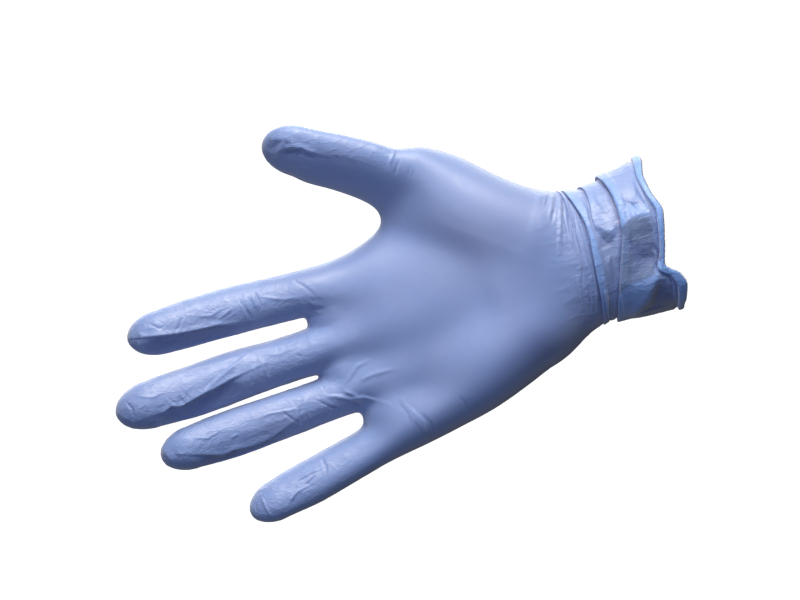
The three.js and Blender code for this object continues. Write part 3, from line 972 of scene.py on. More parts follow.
@dataclass(frozen=True)
class Facets:
    """Flat facets of crumpled film between corners, each given by its x, its z and its lift."""

    corners: tuple[tuple[float, float, float], ...]
    side: Side = Side.PALM
    rounding: float = 0.2
    reach: float = 1.0
    least_area: float = 1e-9
    least_gap: float = 1e-5

    @property
    def line(self) -> Path:
        """The corners' places, which bound the facets."""
        return tuple(corner[:2] for corner in self.corners)

    def height_at(self, p: Array) -> Array:
        """Works out how far the facets lift the film.

        Args:
            p: The x and z of the points, one a row.

        Returns:
            The lift of each point, in millimetres.
        """
        made = delaunay_2d_cdt([Vector(place) for place in self.line], [], [], 0, self.least_gap)
        places, faces = np.array([tuple(v) for v in made[0]]), made[2]
        lifts = np.array([self.corners[sources[0]][2] for sources in made[3]])
        shifts = self.rounding * np.array(((1, 0), (-1, 0), (0, 1), (0, -1),
                                           (0.5, 0.5), (-0.5, -0.5), (0, 0)))
        total = np.zeros(len(p))
        for shift in shifts:
            q = p + shift
            for face in faces:
                a, b, c = places[list(face)]
                matrix = np.column_stack((b - a, c - a))
                if abs(np.linalg.det(matrix)) < self.least_area:
                    continue
                uv = (q - a) @ np.linalg.inv(matrix).T
                inside = (uv[:, 0] >= 0) & (uv[:, 1] >= 0) & (uv.sum(axis=1) < 1)
                height = lifts[list(face)]
                total[inside] += height[0] + uv[inside] @ (height[1:] - height[0])
        return total / len(shifts)


class Layer(Enum):
    """How many layers of film lie at a place of the cuff."""

    SINGLE = "single"
    DOUBLED = "doubled"


@dataclass(frozen=True)
class FilmPlace:
    """A place of the cuff that looks darker and greyer, or lighter, than the film round it."""

    layer: Layer
    share: float
    corners: Path
    blur: float = 0.25

    def mask(self, p: Array) -> Array:
        """Works out how much of the place each point has.

        Args:
            p: The x and z of the points, one a row.

        Returns:
            Shares between 0, outside, and the place's own share.
        """
        total = np.zeros(len(p))
        shifts = self.blur * np.array(((0, 0), (1, 0), (-1, 0), (0, 1), (0, -1)))
        ends = np.array(self.corners)
        for shift in shifts:
            x, z = (p + shift).T
            inside = np.zeros(len(p), bool)
            for (x0, z0), (x1, z1) in zip(ends, np.roll(ends, -1, axis=0)):
                if z0 != z1:
                    inside ^= ((z0 > z) != (z1 > z)) & (x < x0 + (z - z0) * (x1 - x0) / (z1 - z0))
            total += inside
        return total / len(shifts) * self.share


# The single places are darker and greyer: partly the tone of single film, partly painted shade where the
# cuff's facets lie in shade.
FILM_PLACES = (
    FilmPlace(Layer.SINGLE, 0.75, ((-16.9, 7), (-11.6, 8.9), (-6.2, 8.3), (-5.2, 4.9), (-6, -0.5), (-7, -5.3),
                                   (-8.2, -12.6), (-14, -14), (-20, -13.8), (-24.2, -16.6), (-20.6, -3.6))),
    FilmPlace(Layer.SINGLE, 1, ((-8.3, -16.6), (-3.9, -22.4), (-3.6, -28.7), (-4.9, -32.4), (-22.2, -32),
                                  (-24.7, -31.8), (-17.9, -26.6), (-12.8, -21.4))),
    FilmPlace(Layer.SINGLE, 0.4, ((-26, 7.6), (-22.6, 7), (-19.6, 3), (-21, -4), (-24, -12),
                                  (-27, -12), (-27.4, 0))),
    FilmPlace(Layer.DOUBLED, 0.6, ((-22.4, -12.3), (-15.6, -12.7), (-7.6, -13), (-8.5, -16.3), (-12.9, -19.9),
                                   (-17.3, -23.7), (-20.7, -25.8), (-22.6, -27.8), (-25.9, -26.9))),
    FilmPlace(Layer.DOUBLED, 0.45, ((-13.1, 14.6), (-4.7, 13.2), (-4.7, 8.1), (-6.5, 8.9), (-11.2, 9.5),
                                    (-15.7, 8))),
)


@dataclass(frozen=True)
class WrinkleSet:
    """Short wrinkles spread between a first and a last one, by turns a soft crest and a soft valley."""

    first: Path
    last: Path
    count: int
    lean: float
    width: float
    height: float
    side: Side = Side.PALM
    pull_back: float = 0.6
    bend: float = 0.35
    bend_turn: float = 2.4
    bend_start: float = 1.0
    shorter: float = 0.12
    shorter_turn: float = 1.9
    far_end: float = 0.5

    def creases(self) -> list[Crease]:
        """Draws the wrinkles, every other one pulled off its even place and each bent a little in its middle.

        Returns:
            The wrinkles as creases.
        """
        first, last = np.array(self.first, float), np.array(self.last, float)
        gap = (last - first).mean(axis=0) / (self.count - 1)
        creases = []
        for k in range(self.count):
            a, b = first + (last - first) * (k / (self.count - 1))
            odd = (-1) ** k
            a, b = a + gap * self.lean * odd, b - gap * self.lean * odd * self.pull_back
            middle = (a + b) / 2 + gap * self.bend * math.sin(self.bend_turn * k + self.bend_start)
            less = (b - a) * self.shorter * (1 + math.cos(self.shorter_turn * k))
            line = (tuple(a + less), tuple(middle), tuple(b - less * self.far_end))
            shape = Shape.GROOVE if k % 2 else Shape.RIDGE
            creases.append(Crease(shape, self.width, self.height, line, self.side))
        return creases


def draw(rows: tuple, sets: tuple[WrinkleSet, ...]) -> list[Crease]:
    """Makes the creases of a table, and then those of the sets of wrinkles."""
    return [Crease(*row) for row in rows] + [crease for wrinkles in sets for crease in wrinkles.creases()]


def palm_creases() -> list[Crease | Facets]:
    """Draws the creases of the palm side, from the tips of the stalls to the heel of the palm.

    Returns:
        The creases, and the crumpled facets of the thumb stall's tip.
    """
    r, g, t, s = Shape.RIDGE, Shape.GROOVE, Shape.TUCK, Shape.STEP
    rows = (  # shape, width, height, line, side, fall, fall depth
        # index stall
        (t, 0.54, 0.78, ((-207.5, 18), (-204.5, 17.6), (-196.7, 16.2), (-191.2, 15.3), (-185, 14.7),
                       (-175, 14.1), (-163.7, 11.8)), Side.PALM, 7.5, 0.18),
        (s, 0.63, 0.46, ((-204.6, 20.5), (-203.7, 17.4), (-206.2, 13.3))),
        (g, 0.41, 0.4, ((-186.2, 21.2), (-188.6, 18), (-190.8, 15.3))),
        (r, 0.45, 0.34, ((-174, 16), (-170, 17.6), (-166.7, 18.7))),
        (r, 0.45, 0.31, ((-181, 19.5), (-176, 18.2), (-171, 19.6))),
        (g, 0.45, 0.31, ((-199.5, 21.6), (-196, 18.8), (-193.5, 19.6))),
        (r, 0.54, 0.31, ((-157, 20.5), (-149, 17), (-141, 15.5))),
        (g, 0.54, 0.34, ((-143, 23.5), (-138.5, 19), (-135, 13.5))),
        # middle stall
        (r, 0.5, 0.37, ((-208.7, -1.3), (-193.3, -0.1), (-175, 0.3))),
        (t, 0.63, 0.62, ((-171.7, -1.7), (-178.3, -4.7), (-186.2, -8.4))),
        (t, 0.54, 0.78, ((-208.3, -12.6), (-202.9, -12.2), (-200, -10.9), (-196.2, -12), (-189.2, -10.1),
                       (-181.7, -8.8), (-175, -7.2), (-168.3, -6.3)), Side.PALM, 6.5, 0.18),
        (g, 0.41, 0.37, ((-168, -8), (-167.6, -9.4), (-168.2, -11))),
        (g, 0.41, 0.37, ((-161.2, -5.5), (-160.8, -7.6), (-161.6, -9.7))),
        (g, 0.45, 0.31, ((-149.6, -4.7), (-147.6, -6), (-146, -6.3))),
        (r, 0.5, 0.31, ((-163, -1), (-155, -3.2), (-147, -1.6))),
        (g, 0.54, 0.34, ((-216.5, -4), (-214.5, -8), (-215.5, -12))),
        (r, 0.45, 0.31, ((-212, -3.4), (-206, -5.6), (-201, -5))),
        # ring stall
        (t, 0.54, 0.78, ((-197.5, -30.9), (-191.7, -32.6), (-186.2, -34.1), (-181.7, -33.4), (-175, -33.8),
                       (-166.7, -33), (-158.3, -30.1)), Side.PALM, 4.5, 0.2),
        (r, 0.45, 0.34, ((-170.8, -24.7), (-165, -24), (-158.3, -24.7), (-153.3, -25.5))),
        (g, 0.45, 0.46, ((-160.4, -23.8), (-157.8, -27.4), (-155, -30.5))),
        (r, 0.45, 0.37, ((-181.7, -29.2), (-180, -28.4), (-178.3, -28))),
        (s, 0.54, 0.4, ((-208.3, -25.2), (-206.6, -29), (-205, -33))),
        (t, 0.54, 0.46, ((-135, -25.5), (-138.3, -24.2), (-141.7, -23.8))),
        (g, 0.45, 0.4, ((-146.7, -23.4), (-141.7, -28), (-137.5, -30.5))),
        (r, 0.45, 0.28, ((-196, -24.6), (-190, -26.4), (-184, -24.8))),
        # little stall
        (r, 0.45, 0.37, ((-176.7, -53), (-175.8, -58.8), (-175, -63))),
        (g, 0.41, 0.31, ((-179.2, -54.7), (-179.8, -56.8), (-180, -58.8))),
        (r, 0.45, 0.46, ((-167.5, -58.8), (-163, -55.6), (-158.6, -54.6))),
        (t, 0.45, 0.46, ((-161.6, -51.6), (-157.4, -50.6), (-152, -49.8))),
        (g, 0.45, 0.46, ((-159.2, -54.2), (-157, -53.2), (-155, -51.7))),
        (g, 0.54, 0.34, ((-150.5, -45.2), (-149.6, -49.6), (-150.8, -54.4))),
        # thumb stall
        (t, 0.5, 0.5, ((-134, 69.6), (-132.2, 71.2), (-129.4, 71.4), (-124.7, 69.8), (-122.5, 67.8),
                      (-118.6, 65)), Side.PALM, 3),
        (s, 0.9, 0.2, ((-121, 66.4), (-115, 64.6), (-109, 61.8), (-104, 58))),
        (t, 0.38, 0.42, ((-90.4, 61), (-92.9, 57.5), (-95, 54.5))),
        (g, 0.4, 0.36, ((-90.2, 55.7), (-92.9, 51.8), (-94.6, 49.4))),
        (g, 0.36, 0.3, ((-86.8, 52), (-89.2, 48.2))),
        (g, 0.36, 0.24, ((-85.8, 50.6), (-88, 47.2))),
        # palm
        (s, 1.8, 0.14, ((-50.2, 3.7), (-58, 9.6), (-66.9, 16.3), (-73, 20.8), (-78.3, 24.6), (-82.5, 29.8),
                        (-83, 38))),
        (t, 0.54, 0.65, ((-123.1, -30.6), (-128.3, -27.5), (-133.5, -27), (-138.7, -24.4))),
        (r, 0.54, 0.46, ((-135.6, -23.3), (-132.4, -25.4), (-129.4, -28))),
        (g, 1.4, 0.5, ((-136, -26.6), (-131.5, -30), (-129, -34))),
        (r, 0.54, 0.43, ((-135.6, -22.3), (-127.3, -15.6), (-122.6, -15))),
        (r, 0.54, 0.37, ((-129.4, -21.2), (-121, -20.4), (-113.7, -20.7))),
        (g, 0.45, 0.46, ((-131, -37.4), (-130.6, -38.8), (-130.4, -40))),
        (t, 0.54, 0.43, ((-108.5, -50.4), (-109, -43.1), (-112.7, -35.8))),
        (g, 0.45, 0.34, ((-106.4, -50), (-106.6, -44.4), (-109.6, -38.6))),
        (r, 0.45, 0.28, ((-113.2, -39), (-110, -45.2), (-109.6, -50.4))),
        (g, 0.45, 0.28, ((-94, -36.9), (-92.2, -39.8), (-91.9, -44.2))),
        (g, 0.45, 0.25, ((-116.6, -33), (-114.2, -38), (-113.8, -44))),
    )
    thumb_tip = Facets((
        (-137.9, 74.2, 0), (-135.7, 77, 0), (-132, 77.9, 0), (-128.5, 76.3, 0), (-125.5, 72.9, 0),
        (-119.4, 66.7, 0), (-122.2, 64.6, 0), (-127.4, 66.4, 0), (-132.8, 67.1, 0), (-136.3, 68.7, 0),
        (-137.8, 71.4, 0), (-134.3, 76, 0.35), (-133.8, 73.6, -0.35), (-135.7, 73.3, -0.35),
        (-135, 71.4, 0.1), (-132.7, 72, 0.45), (-133.9, 70.2, 0.3), (-130.6, 74.9, 0.35),
        (-129.7, 73, -0.25), (-128.5, 73.5, 0.3), (-128, 71.8, 0.3), (-124.8, 69.6, 0.25),
        (-127.3, 68.6, -0.3), (-131.5, 69.8, -0.3)))
    sets = (
        WrinkleSet(((-165.4, 22.6), (-162.9, 11.6)), ((-157.4, 23), (-156.6, 15.5)), 6, 0.3, 0.42, 0.38),
        WrinkleSet(((-201.4, -6.6), (-200.2, -10.8)), ((-193.2, -7.2), (-192.4, -11.4)), 6, 0.35, 0.4, 0.32),
        WrinkleSet(((-140.6, 9.6), (-133.6, 6.6)), ((-139.4, 14), (-132, 11.6)), 4, 0.4, 0.4, 0.29),
        WrinkleSet(((-156, -34.4), (-154.8, -21.6)), ((-151.2, -33.4), (-150, -20.6)), 3, 0.4, 0.5, 0.26),
        WrinkleSet(((-166.6, -13.6), (-166, -3)), ((-161.8, -13), (-161.4, -3.4)), 3, 0.4, 0.5, 0.26),
    )
    return [*draw(rows, sets), thumb_tip]


def cuff_creases() -> list[Crease | Facets]:
    """Draws the pleats, facets and crumples of the cuff, on both faces.

    Returns:
        The creases, and the facets of the bands between the folds.
    """
    r, g, t, back = Shape.RIDGE, Shape.GROOVE, Shape.TUCK, Side.BACK
    rows = (
        # long pleats that fan out from the thumb side of the wrist
        (g, 0.41, 0.6, ((-38.6, 27.6), (-39.6, 26.4), (-42.2, 22.7))),
        (r, 0.45, 0.56, ((-37.4, 27.4), (-38.9, 23.8), (-41.4, 18.6))),
        (g, 0.41, 0.75, ((-35.9, 26.9), (-38.3, 22.2), (-41.6, 16.1))),
        (t, 0.41, 0.8, ((-35, 26.4), (-37, 20.6), (-39.2, 13.4), (-41.4, 7))),
        (g, 0.36, 0.7, ((-34.1, 25.8), (-35.5, 19), (-36.4, 10.8), (-38, 3.6))),
        (r, 0.41, 0.62, ((-33.4, 24.6), (-34.2, 17.4), (-35.6, 9.2), (-36, 0))),
        (g, 0.36, 0.8, ((-32.6, 23.5), (-32.9, 15.9), (-34.1, 9.2), (-34.4, 1.2), (-35.2, -5))),
        (t, 0.36, 0.75, ((-32, 21.5), (-31.4, 14.3), (-31.2, 7.2), (-31.5, 2.1), (-32.4, -6))),
        (g, 0.41, 0.62, ((-33.9, 10.9), (-34.2, 4.6), (-34.7, -2.8), (-36.4, -10))),
        (t, 0.41, 0.68, ((-31.5, 0.3), (-31.4, -5.5), (-32.1, -13.4), (-33.6, -19))),
        (g, 0.45, 0.38, ((-41.4, 26.7), (-42.4, 25.2), (-43.3, 23.7))),
        (r, 0.45, 0.35, ((-37.4, -4), (-38, -12), (-38.8, -19))),
        (g, 0.45, 0.35, ((-34.6, -10), (-35.2, -16), (-36.6, -22))),
        # the short fold between the wrist and the band
        (t, 0.45, 0.8, ((-29, -12.6), (-29.2, -16.4), (-29.4, -21.5), (-30, -26))),
        (r, 0.63, 0.43, ((-26.4, -3), (-26.6, -10), (-27.4, -18))),
        (g, 0.63, 0.43, ((-23, -1), (-24, -8), (-25, -16))),
        (r, 0.54, 0.43, ((-22.6, 22), (-20.6, 17), (-19.6, 12))),
        (g, 0.45, 0.38, ((-20.2, 25), (-19, 20), (-18.4, 15))),
        # thin pulls in the band
        (r, 0.45, 0.43, ((-12.4, 14.4), (-9.6, 15.6), (-6.4, 14.4))),
        (g, 0.45, 0.41, ((-13, 17.4), (-10.4, 15), (-9.2, 12.4))),
        (t, 0.45, 0.58, ((-7.4, -4), (-7, -7), (-8, -10))),
        (g, 0.63, 0.72, ((-6.4, -2), (-5.8, -6), (-6.2, -11))),
        (g, 0.54, 0.72, ((-3.2, -14.4), (-3.6, -19), (-4.6, -24))),
        # the back of the cuff
        (t, 0.81, 0.87, ((-3.5, 14), (-9, 12), (-14.5, 13.6)), back),
        (g, 1.2, 0.45, ((-4, -8), (-9.5, -5.6), (-15, -6.4)), back),
        (t, 0.54, 0.72, ((-38.6, 18), (-37.4, 8), (-38.8, -3)), back),
        (g, 0.45, 0.58, ((-41.4, -5), (-40.2, -13), (-41.6, -20)), back),
        (r, 0.45, 0.52, ((-43.8, 12), (-42.8, 2), (-44, -8)), back),
    )
    wrist = WrinkleSet(((-29.6, 20), (-29, -20)), ((-36.6, 18), (-36.2, -22)), 6, 0.25, 0.45, 0.34, back)
    last_band = Facets((
        (-6, 31, 0), (-16.2, 27.3, 0), (-12.1, 20.4, 0.25), (-7.3, 19, -0.25), (-12.2, 14.6, -0.2),
        (-6, 14, 0.35), (-14.9, 8.4, 0.9), (-10.7, 9.9, 1.6), (-7.8, 10, 1.7), (-4.1, 9.5, 1.1),
        (-15.5, 1.6, -0.5), (-12.2, 2.9, 0.1), (-5.4, 2.2, -0.3), (-11.9, -6.4, -1), (-8.3, -6.9, -0.8),
        (-16.5, -6.3, -0.15), (-21.1, -12.5, 0.6), (-15.4, -10.7, 0.45), (-9.7, -11.1, 0.3),
        (-8.3, -14.7, 1.5), (-12.3, -15.3, 1.6), (-16.1, -15.7, 1.4), (-12.6, -18.6, 1.8),
        (-18.3, -23.7, 1.5), (-9.4, -20.5, -0.9), (-4.6, -16, 0.3),
        (-4.2, -20.4, -0.5), (-5.3, -26.3, 0), (-12, -25.4, -0.7), (-20.2, -26.7, 0),
        (-19.9, -20.4, 1.1), (-23.5, -19.9, 0.9), (-24.3, -26.1, 0), (-3, 2, 0), (-4.6, -9, 0),
        (-17.6, 8, 0), (-19.6, -2, 0), (-22.6, -9, 0)))
    second_band = Facets((
        (-27, 26, 0), (-19.6, 27, 0), (-25.8, 10.9, 0.25), (-22.8, 8, 1.2), (-22.9, 2.8, -0.7),
        (-20.3, 6.7, 1.1), (-24.4, 4.7, -0.6), (-19.1, 4.9, -0.1), (-17.6, 9.4, 0.2), (-25.2, 7.8, -0.2),
        (-21.4, 0.9, -0.2), (-24.6, -4, 0.3), (-21.9, 15.1, 0.1), (-18, 14, 0.1), (-26.7, -3.3, 0),
        (-22.6, -5, 0), (-26.6, -11.5, 0), (-28, 1, 0), (-27.6, 10, 0), (-19.4, 0.6, 0)))
    far_band = Facets((
        (-3.4, 27, 0), (-17.6, 27, 0), (-10, 19, 0.6), (-15, 11, -0.4), (-5, 10, -0.3),
        (-10.5, 5, 0.9), (-4, 1, 0.2), (-17, 0, 0.3), (-12, -5, -0.6), (-5, -10, 0.7),
        (-15, -13, 0.8), (-9, -17, -0.5), (-3, -24, 0), (-14, -22, 0.3), (-20, -25, 0),
        (-19, -8, 0), (-18, 12, 0)), back)
    return [*draw(rows, (wrist,)), last_band, second_band, far_band]


def back_creases() -> list[Crease]:
    """Draws the creases of the back: joints of the stalls, knuckles and the stretch between them.

    Returns:
        The creases.
    """
    r, g, t, back = Shape.RIDGE, Shape.GROOVE, Shape.TUCK, Side.BACK
    rows = (
        (r, 5, 0.8, ((-123, 18.4), (-117, 17), (-111, 15.6)), back),
        (r, 5, 0.85, ((-126, -3.6), (-119, -3.2), (-112, -2.8)), back),
        (r, 4.6, 0.7, ((-121, -22.6), (-115, -21.6), (-109, -20.4)), back),
        (r, 4.4, 0.6, ((-115, -40.4), (-109.6, -38.4), (-104, -36.2)), back),
        (r, 2.4, 0.4, ((-120, -6), (-104, -4.6), (-84, -3), (-62, -1.6)), back),
        (r, 2.2, 0.35, ((-116, -22), (-100, -19), (-80, -15), (-62, -10)), back),
        (r, 2.2, 0.35, ((-118, 13), (-102, 11), (-82, 8), (-62, 5)), back),
        (t, 0.7, 0.34, ((-96, 40), (-88, 33), (-78, 28), (-66, 26)), back),
        (g, 0.7, 0.26, ((-100, 34), (-92, 27), (-82, 21)), back),
        (r, 0.6, 0.22, ((-130, 8), (-124, 4.6), (-116, 4)), back),
        (t, 0.6, 0.3, ((-133, -13), (-126, -15.6), (-117, -15.4)), back),
        (t, 0.6, 0.3, ((-122, -34.6), (-114, -36), (-106, -33)), back),
        (r, 0.6, 0.2, ((-200, 16), (-190, 17.4), (-180, 15.8), (-172, 16.6)), back),
        (r, 0.6, 0.2, ((-210, -9), (-200, -7), (-188, -8.4), (-178, -6.6)), back),
        (r, 0.6, 0.2, ((-198, -27), (-188, -28.8), (-178, -26.6)), back),
        (r, 0.6, 0.2, ((-174, -55.6), (-166, -54.8), (-158, -52)), back),
        (t, 0.7, 0.3, ((-132, 71), (-124, 68.6), (-116, 64), (-108, 60.6)), back),
    )
    sets = (
        WrinkleSet(((-165, 24.6), (-165, 9)), ((-158, 25), (-158, 9.4)), 5, 0.3, 0.5, 0.26, back),
        WrinkleSet(((-187, 23.6), (-187, 12.6)), ((-183.6, 23.8), (-183.6, 12.4)), 3, 0.3, 0.45, 0.2, back),
        WrinkleSet(((-172, 2), (-172, -14.6)), ((-164.6, 2.4), (-164.6, -14.4)), 5, 0.3, 0.5, 0.26, back),
        WrinkleSet(((-196.6, -1), (-196.6, -14.6)), ((-193, -1), (-193, -14.8)), 3, 0.3, 0.45, 0.2, back),
        WrinkleSet(((-162, -18.6), (-162, -34)), ((-155, -18.4), (-155, -33.6)), 5, 0.3, 0.5, 0.26, back),
        WrinkleSet(((-184.6, -22), (-184.6, -34.6)), ((-181, -22), (-181, -34.4)), 3, 0.3, 0.45, 0.2, back),
        WrinkleSet(((-151.6, -44.6), (-153.6, -58)), ((-146, -43.4), (-148, -57.4)), 4, 0.3, 0.5, 0.24, back),
        WrinkleSet(((-107.6, 67), (-114, 54)), ((-102.4, 64), (-108.6, 51.6)), 4, 0.3, 0.55, 0.28, back),
    )
    return draw(rows, sets)


@dataclass(frozen=True)
class Crumple:
    """The fine unrest of a thin film: soft facets with low crests between them."""

    seed: int
    cell: float
    height: float
    stretch: tuple[float, float, float]
    finer: float = 1.9
    shift: float = 31.7
    crest_steepness: float = 2.2
    crest_share: float = 0.9
    facet_share: float = 0.5
    steps: tuple[int, int, int] = (73856093, 19349663, 83492791)
    seed_step: int = 2654435761
    mixer: int = 1274126177

    def height_at(self, p: Array) -> Array:
        """Works out how far the unrest lifts the film.

        Args:
            p: Points, one a row.

        Returns:
            The lift of each point, in millimetres.
        """
        first = self._field(p, self.seed)
        second = self._field(p * self.finer + self.shift, self.seed + 1)
        crests = np.clip(1 - np.abs(first) * self.crest_steepness, 0, 1) ** 3
        return self.height * (crests * self.crest_share + second * self.facet_share)

    def _field(self, p: Array, seed: int) -> Array:
        """Reads smooth random values between about -1 and 1.

        Args:
            p: Points, one a row.
            seed: The field's number, which alone settles its values.

        Returns:
            The value at each point.
        """
        q = p / (np.array(self.stretch) * self.cell) + 1000.0
        base = np.floor(q).astype(np.int64)
        t = q - base
        t = t * t * t * (t * (6 * t - 15) + 10)
        total = np.zeros(len(p))
        for corner in range(8):
            step = np.array([(corner >> k) & 1 for k in range(3)])
            cell = base + step
            mixed = np.bitwise_xor.reduce(cell * np.array(self.steps), axis=1) ^ (seed * self.seed_step)
            mixed = (mixed ^ (mixed >> 13)) * self.mixer & 0x7FFFFFFF
            value = (mixed ^ (mixed >> 16)) % 65536 / 32767.5 - 1.0
            total += value * np.prod(np.where(step == 1, t, 1 - t), axis=1)
        return total


@dataclass(frozen=True)
class Mound:
    """A soft round place of the palm."""

    x: float
    z: float
    long: float
    wide: float

    def share(self, p: Array) -> Array:
        """Reads how far points lie in the place, from 1 at its middle to nothing well outside it."""
        return np.exp(-(((p[:, 0] - self.x) / self.long) ** 2 + ((p[:, 2] - self.z) / self.wide) ** 2))


@dataclass(frozen=True)
class FilmMarks:
    """Where the film is doubled, stretched thin, single or loose, and where shade is painted into its colour,
    for the finish to read.
    """

    cuff: Cuff
    thumb_ball: Mound = Mound(-64, 24, 26, 17)
    # painted shade at the heel of the palm
    heel: Mound = Mound(-56, -28, 12, 9)
    palm_facing: tuple[float, float] = (0.1, 0.8)
    hem_rows: tuple[float, float] = (3.6, 4.6)
    # rows of painted shade along the inner edge of the bead
    seam_shade_rows: tuple[float, float, float, float] = (3.5, 3.9, 4.1, 4.6)
    seam_shade_share: float = 0.8
    lip_rows: tuple[float, float, float, float] = (-2.2, 0.0, 0.15, 0.5)
    lip_shares: tuple[float, ...] = (0.75, 0.3, 0.7, 0.25)
    # rows of painted shadow under each fold's lip
    lip_shadow_rows: tuple[float, float, float, float] = (0.5, 0.8, 1.0, 1.5)
    stretched_share: float = 0.8
    # painted shade in the dents that creases press into the film, weaker on the back
    dent_shade_rise: float = 1.5
    dent_shade_start: float = 0.1
    dent_shade_most: float = 0.6
    dent_shade_back_share: float = 0.3
    # how much painted shade the heel of the palm gets
    heel_shade_share: float = 0.5
    taut_palm: tuple[float, float, float, float] = (-150, -122, -46, -36)
    thumb_loose: tuple[float, float] = (52, 62)
    thumb_back_share: float = 0.45
    loose_least: float = 0.08
    band_end: float = -30.0
    band_rows: tuple[float, float] = (-1.6, -0.8)
    band_facing: tuple[float, float] = (0.02, 0.15)

    def read(self, skin: Skin, raised: Array, out: Array) -> dict[str, Array]:
        """Works out all the marks.

        Args:
            skin: The finest skin.
            raised: How far the creases and crumples lift each point.
            out: The outward direction at each point.

        Returns:
            The marks of the points, by name.
        """
        row, turn, palm = skin.ring[:, 0], skin.turn, smoothstep(-out[:, 1], *self.palm_facing)
        doubled = np.where(row >= 0, 1 - smoothstep(row, *self.hem_rows), 0.0)
        # painted shade: darker in the film's dents, more so on the palm side, and at the heel of the palm
        painted_shade = np.clip(-raised * self.dent_shade_rise - self.dent_shade_start, 0, self.dent_shade_most)
        painted_shade = painted_shade * (self.dent_shade_back_share + (1 - self.dent_shade_back_share) * palm)
        painted_shade = painted_shade + self.heel_shade_share * self.heel.share(skin.points) * palm
        for lip, fold, share in zip(self.cuff.lips, self.cuff.folds, self.lip_shares):
            stands = np.clip(fold.lift(turn), 0, 1)
            doubled = np.maximum(doubled, ramp(row, *(lip + k for k in self.lip_rows)) * share * stands)
            # painted shadow under the fold's lip
            painted_shade = np.maximum(painted_shade, ramp(row, *(lip + k for k in self.lip_shadow_rows)) * stands)
        # painted shade along the bead's inner edge
        painted_shade = np.maximum(painted_shade, self.seam_shade_share * ramp(row, *self.seam_shade_rows))
        loose = np.maximum(
            1 - ramp(skin.points[:, 0], *self.taut_palm),
            smoothstep(skin.points[:, 2], *self.thumb_loose)) * (
                self.thumb_back_share + (1 - self.thumb_back_share) * palm)
        return {
            "doubled": np.clip(np.maximum(doubled, self._layer(skin, out, Layer.DOUBLED)), 0, 1),
            "stretched": np.clip(palm * self.thumb_ball.share(skin.points) * self.stretched_share, 0, 1),
            "painted_shade": np.clip(painted_shade, 0, 1),
            "loose": np.clip(loose, self.loose_least, 1),
            # the single places: single film's tone, partly painted shade
            "single": self._layer(skin, out, Layer.SINGLE),
        }

    def _layer(self, skin: Skin, out: Array, layer: Layer) -> Array:
        """Reads how far points lie in a place of single or doubled film, on the palm side of the cuff.

        Args:
            skin: The finest skin.
            out: The outward direction at each point.
            layer: The kind of place.

        Returns:
            The share of each point.
        """
        flat = skin.points[:, [0, 2]]
        near = np.flatnonzero((flat[:, 0] > self.band_end) & (out[:, 1] < 0))
        share = np.zeros(len(flat))
        for place in FILM_PLACES:
            if place.layer is layer:
                share[near] = np.maximum(share[near], place.mask(flat[near]))
        edge = smoothstep(skin.ring[:, 0], *(len(self.cuff.bead) + k for k in self.band_rows))
        return share * edge * smoothstep(-out[:, 1], *self.band_facing)


def add_object(name: str, data: bpy.types.ID) -> bpy.types.Object:
    """Adds an object to the scene.

    Args:
        name: The object's name.
        data: Its mesh, light or camera.

    Returns:
        The object.
    """
    made = bpy.data.objects.new(name, data)
    bpy.context.scene.collection.objects.link(made)
    return made


def add_node(tree: bpy.types.NodeTree, kind: str, values: dict[int | str, object],
             links: dict[int | str, Socket]) -> bpy.types.Node:
    """Adds a node to a material.

    Args:
        tree: The material's nodes.
        kind: The kind of node.
        values: Constants for its inputs.
        links: The sockets that feed its other inputs.

    Returns:
        The node.
    """
    node = tree.nodes.new(kind)
    for name, value in values.items():
        node.inputs[name].default_value = value
    for name, source in links.items():
        tree.links.new(source, node.inputs[name])
    return node


@dataclass(frozen=True)
class Noise:
    """How coarse and how rich in detail a noise is."""

    scale: float
    detail: float

    def add(self, tree: bpy.types.NodeTree, place: Socket) -> Socket:
        """Adds the noise's node and returns its value."""
        values = {"Scale": self.scale, "Detail": self.detail}
        return add_node(tree, "ShaderNodeTexNoise", values, {"Vector": place}).outputs["Fac"]


